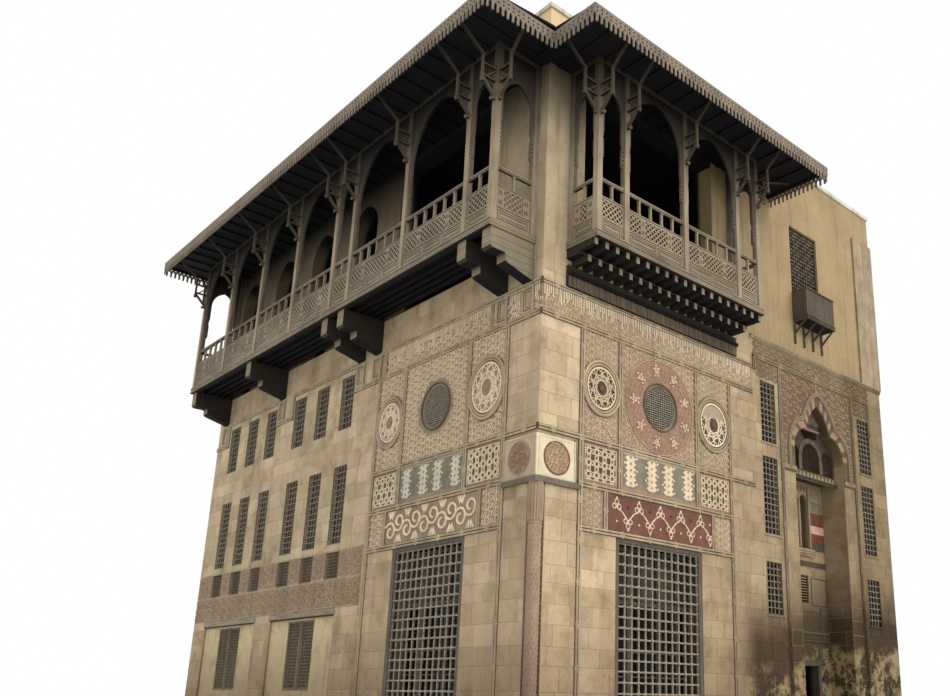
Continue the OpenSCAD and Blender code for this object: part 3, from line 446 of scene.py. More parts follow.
# Finishes
# For each kind of node: its type, the inputs that its values go to in order, its output and its settings
KINDS = {
    "place": ("TexCoord", (), "Object", {}),
    "normal": ("NewGeometry", (), "Normal", {}),
    "tone": ("Attribute", (), "Color", {"attribute_name": "tone"}),
    "parts": ("SeparateColor", (0,), None, {}),
    "axes": ("SeparateXYZ", (0,), None, {}),
    "noise": ("TexNoise", ("Vector", "Scale", "Detail", "Roughness"), 0, {}),
    "stretch": ("Mapping", ("Vector", "Scale"), 0, {}),
    "range": ("MapRange", (0, 1, 2, 3, 4), 0, {"clamp": True}),
    "mix": ("Mix", (0, 6, 7), 2, {"data_type": "RGBA"}),
    "stain": ("Mix", (0, 6, 7), 2, {"data_type": "RGBA", "blend_type": "MULTIPLY"}),
    "plus": ("Math", (0, 1), 0, {"operation": "ADD"}),
    "minus": ("Math", (0, 1), 0, {"operation": "SUBTRACT"}),
    "times": ("Math", (0, 1), 0, {"operation": "MULTIPLY"}),
    "least": ("Math", (0, 1), 0, {"operation": "MINIMUM"}),
    "most": ("Math", (0, 1), 0, {"operation": "MAXIMUM"}),
    "repeat": ("Math", (0, 1), 0, {"operation": "FLOORED_MODULO"}),
    "bump": ("Bump", ("Height", "Distance", "Strength", "Normal"), 0, {}),
    "surface": ("BsdfPrincipled",
                ("Base Color", "Roughness", "Normal", "Metallic", "Specular IOR Level"), 0, {}),
    "output": ("OutputMaterial", ("Surface",), None, {}),
    "sky": ("Background", ("Color", "Strength"), 0, {}),
    "sky_place": ("TexCoord", (), "Generated", {}),
    "rays": ("LightPath", (), None, {}),
    "either": ("MixShader", (0, 1, 2), 0, {}),
    "world": ("OutputWorld", ("Surface",), None, {}),
}


def add(tree, kind, *values):
    """Adds a node of one of the kinds: a value is set or, if it is another node's output, linked."""
    name, sockets, output, options = KINDS[kind]
    item = tree.nodes.new("ShaderNode" + name)
    for key, value in options.items():
        setattr(item, key, value)
    for socket, value in zip(sockets, values):
        if isinstance(value, bpy.types.NodeSocket):
            tree.links.new(value, item.inputs[socket])
        elif value is not None:
            item.inputs[socket].default_value = value
    return item.outputs if output is None else item.outputs[output]


def start_finish(name):
    """An empty material, and the place on the building that its patterns read."""
    material = bpy.data.materials.new(name)
    material.use_nodes = True
    tree = material.node_tree
    tree.nodes.clear()
    return tree, add(tree, "place")


def end_finish(tree, colour, roughness, heights=(), metallic=0.0, specular=0.5):
    """Joins the colour, the roughness and bumps of (height, depth in metres) to the shader."""
    normal = None
    for height, depth in heights:
        normal = add(tree, "bump", height, depth, 1.0, normal)
    add(tree, "output", add(tree, "surface", colour, roughness, normal, metallic, specular))


def layered(tree, colour, layers):
    """Lays (kind, share, colour) layers over a colour."""
    for kind, share, over in layers:
        colour = add(tree, kind, share, colour, rgb(over))
    return colour


def clouded(tree, clouds, fine, share):
    """A tone from 0 to 1: clouds by the share given, fine grain by the rest."""
    return add(tree, "plus", add(tree, "times", add(tree, "range", clouds, 0.3, 0.7), share),
               add(tree, "times", fine, round(1 - share, 2)))


def unlit_depth(tree, axes, deep):
    """1 inside the building, deep metres behind its fronts and under its roof, where no daylight reaches."""
    low = CORNER + Vector((deep, deep, 0))
    high = CORNER + Vector((WIDTH - deep, DEPTH - deep, 0))
    nearest = add(tree, "minus", axes[0], low.x)
    for a, b in ((high.x, axes[0]), (axes[1], low.y), (high.y, axes[1])):
        nearest = add(tree, "least", nearest, add(tree, "minus", a, b))
    under = add(tree, "range", axes[2], ROOF, ROOF - 0.01)
    return add(tree, "times", add(tree, "range", nearest, 0.0, 0.12), under)


def street_shade_and_soot(tree, where, axes, clouds, colour):
    """Painted shade that deepens along the right front away from the corner, and soot that thickens towards
    its foot, over remains of a yellow limewash.
    """
    front = add(tree, "range", axes[1], CORNER.y + 1.2, CORNER.y + 1.0)
    # painted shade: below the string course the right front grows darker away from the corner, as less light
    # reaches it
    along = add(tree, "plus", add(tree, "range", axes[0], CORNER.x + 3.0, CORNER.x + 8.4, 0.0, 0.66),
                add(tree, "range", axes[0], CORNER.x + 11.3, CORNER.x + 11.7, 0.0, 0.28))
    below = add(tree, "times", front, add(tree, "range", axes[2], LOW + 0.02, LOW))
    there = add(tree, "times", add(tree, "range", axes[0], CORNER.x + 6.1, CORNER.x + 6.9), front)
    # the soot's edge is ragged, and rises along the front
    ragged = add(tree, "times", add(tree, "noise", where, 1 / 0.9, 9.0, 0.7), 0.9)
    height = add(tree, "minus", axes[2], add(tree, "plus", clouds, ragged))
    rise = add(tree, "range", axes[0], CORNER.x + 8.0, CORNER.x + 10.5, 0.0, 0.6)
    height = add(tree, "minus", height, rise)
    foot = add(tree, "times", there, add(tree, "range", height, 2.0, 3.4, 0.88, 0.0))
    flakes = add(tree, "range", add(tree, "noise", where, 1 / 0.8, 12.0, 0.85), 0.48, 0.54)
    lime = add(tree, "times", there, flakes)
    lime = add(tree, "times", lime, add(tree, "range", height, 1.1, 1.5, 0.85, 0.0))
    # the first layer is the painted shade, the second the soot at the foot, the third the limewash
    return layered(tree, colour, [("stain", add(tree, "times", along, below), "#aea99d"),
                                  ("stain", foot, "#63543f"), ("mix", lime, "#94815d")])


def stone_finish(name, dark, light, tint=None, patch=0.3, streak=0.2, grime=0.0, grain=0.006, depth=0.0015,
                 roughness=0.88, unlit=None, blocks=False, shelter=0.0, street=False, arch=False,
                 ceiling=False):
    """Stone or plaster: cloudy tone, rain streaks, street grime near the ground, painted shade on faces that
    look towards -x or, under cover, down, and a grain felt as bump.
    """
    tree, where = start_finish(name)
    axes, facing = add(tree, "axes", where), add(tree, "axes", add(tree, "normal"))
    clouds = add(tree, "noise", where, 1 / patch, 6.0, 0.6)
    fine = add(tree, "noise", where, 1 / (grain * 9), 5.0, 0.65)
    tone = clouded(tree, clouds, add(tree, "range", fine, 0.3, 0.7), 0.65)
    layers = []
    if blocks:
        parts = add(tree, "parts", add(tree, "tone"))
        tone = add(tree, "plus", add(tree, "times", tone, 0.6), add(tree, "times", parts[0], 0.46))
        stains = add(tree, "noise", where, 1 / 0.75, 9.0, 0.72)
        layers = [("mix", add(tree, "range", parts[1], 0.55, 1.0, 0.0, 0.45), tint),
                  ("stain", add(tree, "range", stains, 0.47, 0.66, 0.0, 0.5), "#a3927a"),
                  ("stain", add(tree, "range", axes[2], 1.0, 8.0, 0.3, 0.0), "#b0a288")]
    elif tint:
        patches = add(tree, "noise", where, 1 / (patch * 0.45), 3.0, 0.55)
        layers = [("mix", add(tree, "range", patches, 0.5, 0.72, 0.0, 0.6), tint)]
    upright = add(tree, "stretch", where, (1.0, 1.0, 0.055))
    rain = add(tree, "noise", upright, 1 / (0.5 if blocks else 0.16), 5.0, 0.6)
    layers.append(("stain", add(tree, "range", rain, 0.5, 0.78, 0.0, streak), "#4a4136"))
    if grime:
        low = add(tree, "minus", axes[2], add(tree, "times", clouds, 2.6))
        layers.append(("stain", add(tree, "range", low, 0.2, 1.9, grime, 0.0), "#6d6152"))
    # painted shade: faces turned towards -x, as the left front is, are darker
    layers.append(("stain", add(tree, "range", facing[0], -0.9, -0.4, 0.16, 0.0), "#6f6b66"))
    # painted shade: downward faces under the eaves and under the roof slab go near black
    if shelter or ceiling:
        layers.append(("mix", add(tree, "range", facing[2], -0.9, -0.5, 1.0, 0.0), "#0b0b0e"))
    dust = add(tree, "times", add(tree, "range", facing[2], 0.5, 0.95), 0.35)
    layers.append(("mix", dust, "#b5aa94"))
    colour = layered(tree, add(tree, "mix", tone, rgb(dark), rgb(light)), layers)
    if street:
        colour = street_shade_and_soot(tree, where, axes, clouds, colour)
    layers = []
    if arch:
        # inside the recess the stone grows darker upwards from above the impost into the portal's arch
        inside = add(tree, "times", add(tree, "range", axes[1], CORNER.y + 0.01, CORNER.y + 0.04),
                     add(tree, "range", axes[2], IMPOST + 0.3, IMPOST + 1.3, 0.0, 0.8))
        layers.append(("mix", inside, "#2f261d"))
    if shelter:
        # dark under the eaves, sunlit on the parapet above them, and dim behind the galleries' rails
        under = add(tree, "times", add(tree, "range", axes[2], 13.4, SOFFIT - 0.1, 0.0, shelter),
                    add(tree, "range", axes[2], 15.42, 15.4))
        over = add(tree, "range", axes[2], 15.4, 15.42, 0.0, 0.88)
        layers += [("mix", under, "#0c0b0f"), ("mix", over, "#dcc294")]
        if shelter > 0.9:
            layers.append(("mix", add(tree, "range", axes[2], RAIL - 0.5, RAIL + 0.3, 0.55, 0.0), "#2a2622"))
    if unlit:
        layers.append(("mix", unlit_depth(tree, axes, unlit), "#08080b"))
    rough = add(tree, "range", fine, 0.3, 0.7, roughness - 0.08, min(1.0, roughness + 0.07))
    pits = add(tree, "noise", where, 1 / (grain * 3), 3.0, 0.7)
    end_finish(tree, layered(tree, colour, layers), rough, [(pits, depth), (fine, depth * 3)], specular=0.2)


def timber_finish(name, dark, light, run, board=0.0, shelter=0.0, ends=None, deck=None):
    """Sun-greyed softwood: long grain lines along its run, darker pores, and upper faces paler with dust and
    with painted skylight.
    """
    tree, where = start_finish(name)
    axes, facing = add(tree, "axes", where), add(tree, "axes", add(tree, "normal"))
    # grain lines 7 mm apart and half a metre long
    scale = [1.0, 1.0, 1.0]
    scale[run] = 0.03
    lines = add(tree, "noise", add(tree, "stretch", where, scale), 1 / 0.022, 6.0, 0.7)
    clouds = add(tree, "noise", where, 1 / 0.8, 4.0, 0.55)
    tone = add(tree, "plus", add(tree, "times", add(tree, "range", lines, 0.32, 0.68), 0.6),
               add(tree, "times", add(tree, "range", clouds, 0.3, 0.7), 0.4))
    # upper faces paler: dust, and painted light from the sky overhead
    layers = [("mix", add(tree, "range", facing[2], 0.4, 0.9, 0.0, 0.5), "#8f877a"),
              # painted shade: downward faces go near black
              ("mix", add(tree, "range", facing[2], -0.9, -0.4, 0.97, 0.0), "#141214")]
    heights = [(lines, 0.0016)]
    if ends is not None:
        # only the sawn ends, and the boarded side next to the corner, catch the light
        near = add(tree, "range", axes[1], CORNER.y + 0.30, CORNER.y + 0.34, 0.0 if ends else 1.0, 0.0)
        lit = add(tree, "most", add(tree, "range", facing[ends], -0.8, -0.5, 1.0, 0.0), near)
        if ends:
            # the plate between the two rows of joists and the boards behind them lie in their shade
            plate = add(tree, "times", add(tree, "range", axes[2], LOW - 0.212, LOW - 0.208),
                        add(tree, "range", axes[2], LOW - 0.148, LOW - 0.152))
            behind = add(tree, "range", axes[1], CORNER.y - 0.36, CORNER.y - 0.34)
            lit = add(tree, "minus", lit, add(tree, "plus", plate, behind))
        layers.append(("mix", add(tree, "range", lit, 0.0, 1.0, 0.9, 0.0), "#171516"))
    if board:
        seam = add(tree, "repeat", add(tree, "times", axes[2], 1 / board), 1.0)
        gap = add(tree, "range", seam, 0.0, 0.09)
        layers.append(("mix", add(tree, "minus", 1.0, gap), "#1b1815"))
        heights.append((gap, 0.004))
    if deck:
        # behind its edge beam a deck's ribs are lost in shade
        edge = CORNER[1 - run] - GALLERIES[deck][1] + POST
        end_on = add(tree, "times", facing[run], facing[run])
        inner = add(tree, "times", add(tree, "range", axes[1 - run], edge - 0.03, edge - 0.01),
                    add(tree, "range", end_on, 0.5, 0.9, 1.0, 0.0))
        layers.append(("mix", inner, "#131112"))
    if shelter:
        # painted shade: darker upwards towards the canopy, by the share that shelter gives
        layers.append(("mix", add(tree, "range", axes[2], 12.7, SOFFIT - 0.15, 0.0, shelter), "#0d0c0d"))
    wood = add(tree, "mix", tone, rgb(dark), rgb(light))
    end_finish(tree, layered(tree, wood, layers), 0.78, heights, specular=0.12)


def iron_finish(name, dark, light, dust):
    """Wrought iron: rusty patches, and dust where it faces up."""
    tree, where = start_finish(name)
    rust = add(tree, "range", add(tree, "noise", where, 1 / 0.07, 5.0, 0.7), 0.35, 0.7)
    facing = add(tree, "axes", add(tree, "normal"))
    colour = add(tree, "mix", rust, rgb(dark), rgb(light))
    colour = add(tree, "mix", add(tree, "range", facing[2], 0.2, 0.9, 0.0, 0.6), colour, rgb(dust))
    end_finish(tree, colour, 0.62, [(add(tree, "noise", where, 1 / 0.008, 3.0, 0.55), 0.0008)], metallic=0.25)


def glass_finish(name, dark, light, size, smooth, dull):
    """Old drawn window glass, painted dark for the unlit room behind it, with a dusty film that runs down."""
    tree, where = start_finish(name)
    film = add(tree, "noise", add(tree, "stretch", where, (1, 1, 0.3)), 1 / size, 5.0, 0.55)
    colour = add(tree, "mix", add(tree, "range", film, 0.35, 0.7), rgb(dark), rgb(light))
    end_finish(tree, colour, add(tree, "range", film, 0.3, 0.7, smooth, dull), specular=0.1)


def make_finishes(stone):
    # Dressed limestone blocks: each block has its own tone from the quarry, pink and grey ones among the buff
    stone_finish("dressed_limestone_blocks", stone.dark, stone.light, tint="#ab9171", patch=1.6, blocks=True,
                 streak=0.3, grime=0.45, street=True)
    # Bedding mortar and reveals behind the blocks, a little darker, sooty; the portal's wall darker still,
    # painted as in the shade of its deep recess
    stone_finish("limestone_wall", "#8f7c61", "#b39f82", patch=1.6, unlit=0.42, streak=0.4, grime=0.6,
                 street=True)
    stone_finish("portal_limestone", "#7f6d50", "#a8926c", patch=1.6, unlit=0.98, streak=0.45, grime=0.7,
                 arch=True)
    stone_finish("moulded_limestone", "#93826a", "#bfad8f", patch=0.9, streak=0.45, grime=0.35, street=True)
    stone_finish("weathered_quoin_stone", "#7d6c56", "#ad9a7c", patch=0.5, streak=0.6, grime=0.3)
    stone_finish("carved_shaft_stone", "#826f5b", "#ac967b", tint="#94725f", patch=0.5, streak=0.3, grime=0.5)
    for name, dark, light, patch, streak, roughness in (
            # Carved limestone: ridges painted pale as lit, the ground between them painted darker as shade; a
            # niche stone painted as the conch's shade, a dark cell stone that also paints shade, and the
            # shade of grooves
            ("carved_limestone", "#cbb899", "#f2e0c2", 0.7, 0.25, 0.88),
            ("carved_limestone_ground", "#7d6b55", "#a48f75", 0.5, 0.3, 0.88),
            ("sooted_niche_stone", "#33281f", "#54453a", 0.5, 0.3, 0.88),
            ("worn_cell_stone", "#3d382f", "#585044", 0.3, 0.15, 0.88),
            ("shaded_groove_stone", "#4d4030", "#6b5a45", 0.3, 0.15, 0.88),
            # Red and pink stones, cut back and never polished
            ("rose_carved_ground", "#806454", "#a5866f", 0.3, 0.2, 0.88),
            ("dark_red_ground", "#593930", "#7c5548", 0.3, 0.2, 0.88),
            ("pink_limestone", "#b0897a", "#d6b29f", 0.2, 0.2, 0.88),
            ("basalt_ledge", "#575044", "#7a7161", 0.4, 0.2, 0.88),
            # Polished inlays, gone matt in the street: red marble, black and cream paste, blue-grey marble;
            # the black paste also paints the shade in pierced holes and behind the high screen
            ("red_marble_inlay", "#583329", "#7f4f41", 0.25, 0.2, 0.7),
            ("black_paste_inlay", "#1d1b1a", "#35312e", 0.2, 0.1, 0.7),
            ("cream_marble_inlay", "#bfa888", "#e2cdae", 0.3, 0.2, 0.65),
            ("pale_emblem_marble", "#bfb190", "#dccdab", 0.4, 0.2, 0.65),
            ("blue_grey_marble", "#615b4c", "#89816f", 0.3, 0.25, 0.62),
            ("white_marble_inlay", "#ada48e", "#d6ccb5", 0.3, 0.25, 0.62)):
        stone_finish(name, dark, light, patch=patch, streak=streak, roughness=roughness)
    # Lime plaster, trowelled, yellowed and run down by rain from the coping; the shaded one is a darker copy
    # painted as in shade behind the galleries, and the last column sets how much painted shade falls under
    # the eaves
    for name, dark, light, patch, streak, unlit, shelter in (
            ("yellow_lime_plaster", "#8a7656", "#ab9470", 1.1, 0.3, 0.34, 0.0),
            ("sheltered_lime_plaster", "#6b5d48", "#8f7e64", 1.1, 0.5, 0.3, 0.96),
            ("pale_lime_plaster", "#9c8b6f", "#c0ae8d", 0.7, 0.4, 0.66, 0.8)):
        stone_finish(name, dark, light, patch=patch, streak=streak, unlit=unlit, grain=0.012, depth=0.001,
                     shelter=shelter)
    stone_finish("patched_yellow_plaster", "#b09a72", "#dcc8a0", tint="#9c8d70", patch=0.8, streak=0.25,
                 grime=0.5, grain=0.015, depth=0.001)
    stone_finish("whitewashed_coping", "#a8a18f", "#d9d3c2", patch=0.8, streak=0.5, grain=0.01)
    stone_finish("roof_screed", "#8a8273", "#aba18e", patch=1.8, streak=0.0, grain=0.02, ceiling=True)
    stone_finish("room_floor", "#2b2722", "#3a342c", patch=1.2, streak=0.0, unlit=0.42)
    # Sun-greyed softwood of the galleries, in the three directions its members run; the shaded arch boards,
    # struts, soffits and lattice are darker copies painted as in shade, and the last column sets the painted
    # shade towards the canopy
    for name, dark, light, run, shelter in (
            ("weathered_timber_x", "#5e5243", "#ad9c82", 0, 0.0),
            ("weathered_timber_y", "#5b5043", "#a69680", 1, 0.0),
            ("weathered_timber_upright", "#665a49", "#aa9980", 2, 0.9),
            ("sheltered_arch_boards", "#4d4439", "#83766a", 2, 0.985),
            ("sheltered_strut_timber", "#4e4438", "#85765f", 2, 0.7),
            ("fretted_board_timber", "#564c42", "#968877", 2, 0.0),
            ("brown_wall_boards", "#40362c", "#6b5c4a", 2, 0.0),
            ("sooted_soffit_x", "#0c0b0d", "#161416", 0, 0.0),
            ("sooted_soffit_y", "#0c0b0d", "#161416", 1, 0.0),
            ("shaded_lattice_timber", "#40382e", "#6e614e", 2, 0.0),
            ("dark_lattice_timber", "#2c2620", "#4d443a", 2, 0.0),
            ("brown_leaf_timber", "#4e4437", "#7a6c58", 2, 0.0),
            ("dark_frame_timber", "#453d35", "#6d645a", 2, 0.0)):
        timber_finish(name, dark, light, run, shelter=shelter)
    # Sawn ends show pale, their sides are lost in shade
    timber_finish("sawn_corbel_timber", "#5b5145", "#94876f", 0, board=0.17, ends=0)
    timber_finish("sawn_joist_timber", "#5d5347", "#a1957f", 1, ends=1)
    timber_finish("weathered_boards_x", "#564b3e", "#95866f", 0, board=0.15, deck="right")
    timber_finish("weathered_boards_y", "#564b3e", "#95866f", 1, board=0.15, deck="left")
    # Wrought iron, its black paint long gone under street dust, sootier on the small windows
    iron_finish("dusty_wrought_iron", "#665e51", "#a19580", "#c9bca2")
    iron_finish("sooted_window_iron", "#564f43", "#8d8272", "#b3a78f")
    iron_finish("blackened_iron", "#141311", "#24221e", "#302d28")
    # Window glass: painted nearly black in the small windows for the unlit rooms behind, dusty in the upper
    # lights of the big ones
    glass_finish("old_window_glass", "#080807", "#181715", 0.35, 0.12, 0.45)
    glass_finish("dusty_upper_glass", "#34312a", "#545047", 0.3, 0.3, 0.6)


NODE_FINISHES = {
    "limestone_wall": ("left_corner_wall left_corner_wall_top left_wing_wall right_corner_wall "
                       "right_end_wall back_wall far_side_wall"),
    "portal_limestone": "portal_wall",
    "sooted_niche_stone": "portal_vault",
    "pale_lime_plaster": "corner_pier",
    "moulded_limestone": "left_mouldings right_mouldings portal_hood",
    "weathered_quoin_stone": "end_quoin",
    "yellow_lime_plaster": "upper_right_wall upper_back_wall upper_far_side_wall",
    "sheltered_lime_plaster": "upper_left_piers upper_left_wall loggia_heads",
    "whitewashed_coping": "coping",
    "roof_screed": "roof_slab",
    "room_floor": "ground_floor wing_floors gallery_floor",
    "basalt_ledge": "corner_ledge",
    "pale_emblem_marble": "corner_panels",
    "carved_shaft_stone": "corner_column",
    "dusty_wrought_iron": "left_big_grille right_big_grille",
    "blackened_iron": "round_grilles",
    "dark_frame_timber": "big_window_frames window_frames",
    "dark_lattice_timber": "ground_window_frames lattice_window upper_shutters",
    "brown_wall_boards": "box_balcony",
    "weathered_boards_y": "left_deck",
    "weathered_boards_x": "right_deck",
    "sawn_corbel_timber": "left_corbels",
    "sawn_joist_timber": "right_joists",
    "weathered_timber_upright": "left_posts right_posts",
    "sheltered_arch_boards": "left_arches right_arches",
    "sheltered_strut_timber": "left_struts right_struts",
    "fretted_board_timber": "left_fascia right_fascia",
    "weathered_timber_y": "left_rails left_panels",
    "weathered_timber_x": "right_rails right_panels",
    "shaded_lattice_timber": "left_lattice_near left_lattice_far right_lattice",
    "sooted_soffit_y": "left_canopy",
    "sooted_soffit_x": "right_canopy",
}


class FACADE_OT_finishes(bpy.types.Operator):
    """Makes every finish and gives each solid of the building its own"""
    bl_idname = "facade.finishes"
    bl_label = "Finishes"

    def execute(self, context):
        make_finishes(settings(context, "stone"))
        for finish, names in NODE_FINISHES.items():
            for name in names.split():
                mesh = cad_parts[name].data
                mesh.materials.clear()
                mesh.materials.append(bpy.data.materials[finish])
        left_out = [n for n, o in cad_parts.items() if o.data.materials[0].name not in NODE_FINISHES]
        if left_out:
            raise RuntimeError("no finish for " + ", ".join(left_out))
        return {"FINISHED"}


# Stone courses
def cut(rect, holes):
    """A rectangle less some holes, as rectangles."""
    left = [rect]
    for hx0, hz0, hx1, hz1 in holes:
        rest = []
        for x0, z0, x1, z1 in left:
            if hx0 >= x1 or hx1 <= x0 or hz0 >= z1 or hz1 <= z0:
                rest.append((x0, z0, x1, z1))
                continue
            rest += [r for r in ((x0, z0, hx0, z1), (hx1, z0, x1, z1),
                                 (max(x0, hx0), z0, min(x1, hx1), hz0), (max(x0, hx0), hz1, min(x1, hx1), z1))
                     if r[2] - r[0] > 0.03 and r[3] - r[1] > 0.03]
        left = rest
    return left


def lay_blocks(bm, area, holes, stone, rng, layer):
    """Courses of blocks with broken joints over a rectangle of a front, cut round its openings."""
    x0, z0, x1, z1 = area
    gap = stone.joint / 2
    z = z0
    while z < z1 - 0.02:
        top = z + stone.course * rng.uniform(0.84, 1.14)
        if z1 - top < stone.course * 0.55:
            top = z1
        x = x0 - rng.uniform(0.1, stone.block)
        row_tone = rng.uniform(-0.1, 0.1)
        while x < x1:
            end = x + stone.block * rng.uniform(0.6, 1.35)
            if x1 - end < 0.2:
                end = x1
            tone = (min(1, max(0, rng.gauss(0.5, 0.24) + row_tone)), rng.random(), rng.random(), 1.0)
            if end > x0:
                for r in cut((max(x, x0), z, min(end, x1), top), holes):
                    a, b, c, d = r[0] + gap, r[1] + gap, r[2] - gap, r[3] - gap
                    corners = ((a, b), (c, b), (c, d), (a, d))
                    face = bm.faces.new([bm.verts.new((u, 0.0, v)) for u, v in corners])
                    face[layer] = tone
            x = end
        z = top


def raise_blocks(bm, stone):
    """Lifts every block out of its joints with a worn arris."""
    bm.normal_update()
    bmesh.ops.inset_individual(bm, faces=bm.faces[:], thickness=0.007, depth=stone.relief,
                               use_even_offset=True)


def window_holes(cols, rows, w=WINDOW_W):
    return [(x - w / 2, a, x + w / 2, b) for x in cols for a, b in rows]


class FACADE_OT_courses(bpy.types.Operator):
    """Lays the dressed blocks of all four fronts and of the portal recess"""
    bl_idname = "facade.courses"
    bl_label = "Stone courses"

    def execute(self, context):
        stone = settings(context, "stone")
        rng = random.Random(settings(context, "stage").seed)
        notch = 0.24
        portal = (PORTAL_X - PORTAL_W / 2, 0, PORTAL_X + PORTAL_W / 2, IMPOST)
        spandrel = (PORTAL_X - PORTAL_LINE, IMPOST, PORTAL_X + PORTAL_LINE, LOW - 0.54)
        plans = {
            "right": ((0, 0, WIDTH, LOW), [
                (0, 0.5, notch, 5.59), (0, 5.59, 1.12, LEVELS[2]),
                (FIELDS["right"][0], LEVELS[0], FIELDS["right"][3] + ROLL, LEVELS[3]),
                (0, LEVELS[3], RIGHT_END, LEVELS[4] + ROLL),
                (MIDDLE["right"] - BIG_W / 2, BIG_SILL, MIDDLE["right"] + BIG_W / 2, BIG_HEAD),
                portal, spandrel, *window_holes(SIDE, SIDE_ROWS)]),
            "left": ((-DEPTH, 0, 0, LOW), [
                (-notch, 0.5, 0, 5.59), (-1.08, 5.59, 0, LEVELS[2]),
                (FIELDS["left"][0], LEVELS[0], FIELDS["left"][3] + ROLL, LEVELS[3]),
                (FIELDS["left"][0], LEVELS[3], 0, LEVELS[4] + ROLL),
                (MIDDLE["left"] - BIG_W / 2, BIG_SILL, MIDDLE["left"] + BIG_W / 2, BIG_HEAD),
                (-DEPTH, LINTEL[1] + 0.03, -CORNER_END, 5.02),
                *[(a, 0, b, LINTEL[1]) for a, b in RECESSES], *window_holes(WING, WING_ROWS)]),
            "far": ((0, 0, DEPTH, LOW), window_holes([-x for x in WING], WING_ROWS)),
            "back": ((0, 0, WIDTH, LOW), window_holes([WIDTH - x for x in BACK_COLS], WING_ROWS)),
        }
        for front, (area, holes) in plans.items():
            bm = bmesh.new()
            layer = bm.faces.layers.float_color.new("tone")
            lay_blocks(bm, area, holes, stone, rng, layer)
            raise_blocks(bm, stone)
            piece(front + "_stone_courses", bm, ["dressed_limestone_blocks"], front)
        bm = bmesh.new()
        layer = bm.faces.layers.float_color.new("tone")
        half = PORTAL_W / 2
        openings = [(-0.65, 0, 0.65, 2.48), (-0.32, 4.10, 0.32, 4.85), (-0.42, 5.6, 0.42, 7.1)]
        lay_blocks(bm, (-half, 0.02, half, IMPOST), openings, stone, rng, layer)
        bmesh.ops.transform(bm, matrix=Matrix.Translation((PORTAL_X, PORTAL_IN, 0)), verts=bm.verts)
        for side, y in ((-1, 0.0), (1, PORTAL_IN)):
            first = len(bm.verts)
            lay_blocks(bm, (0, 0.02, PORTAL_IN, IMPOST + 0.5), [], stone, rng, layer)
            bm.verts.ensure_lookup_table()
            turn = Matrix.Rotation(-side * math.pi / 2, 4, "Z")
            place = Matrix.Translation((PORTAL_X + side * half, y, 0)) @ turn
            bmesh.ops.transform(bm, matrix=place, verts=bm.verts[first:])
        raise_blocks(bm, stone)
        piece("portal_recess_courses", bm, ["dressed_limestone_blocks"], "right")
        return {"FINISHED"}


# Mouldings
def double_roll(bm, p, q, index=0):
    """Two thin rolls side by side in a shaded groove, crossed by a small loop every 0.8 m."""
    length = math.hypot(q[0] - p[0], q[1] - p[1])
    along = ((q[0] - p[0]) / length, (q[1] - p[1]) / length)
    strap(bm, p, q, 0.135, 0, 0.01, 1)
    for side in (-1, 1):
        dx, dz = -along[1] * 0.032 * side, along[0] * 0.032 * side
        rod(bm, (p[0] + dx, 0.024, p[1] + dz), (q[0] + dx, 0.024, q[1] + dz), 0.023, 6, index)
    loops = round(length / 0.8)
    for k in range(loops):
        reach = length * (k + 0.5) / loops
        x, z = p[0] + along[0] * reach, p[1] + along[1] * reach
        hoop(bm, x, z, 0.058, tube_profile(0.018, 0.028, 5), index, 10)
        disc(bm, x, z, 0.028, 0.01, 0.034, index, 8)


def ring(bm, x, z, radius, index=0):
    """A bold double ring: a wide outer roll, a second one and a thin inner roll, in a shaded hollow."""
    hoop(bm, x, z, radius, ((-0.15, 0), (-0.15, 0.009), (0.02, 0.009), (0.02, 0)), 1, 56)
    hoop(bm, x, z, radius - 0.022, tube_profile(0.03, 0.026, 8), index, 56)
    hoop(bm, x, z, radius - 0.082, tube_profile(0.022, 0.02, 6), index, 56)
    hoop(bm, x, z, radius - 0.136, tube_profile(0.012, 0.012, 5), index, 56)


def roundels(front):
    """Centre and radius of the two roundels, which fill the width of their fields."""
    f = FIELDS[front]
    return [((a + b + ROLL) / 2, (b - a - ROLL) / 2 + 0.025) for a, b in ((f[0], f[1]), (f[2], f[3]))]


def stretched_upright():
    """Stretches a roundel upright about its centre."""
    centre = Matrix.Translation((0, 0, ROUND_Z))
    return centre @ Matrix.Diagonal((1, 1, ROUNDEL_TALL, 1)) @ centre.inverted()


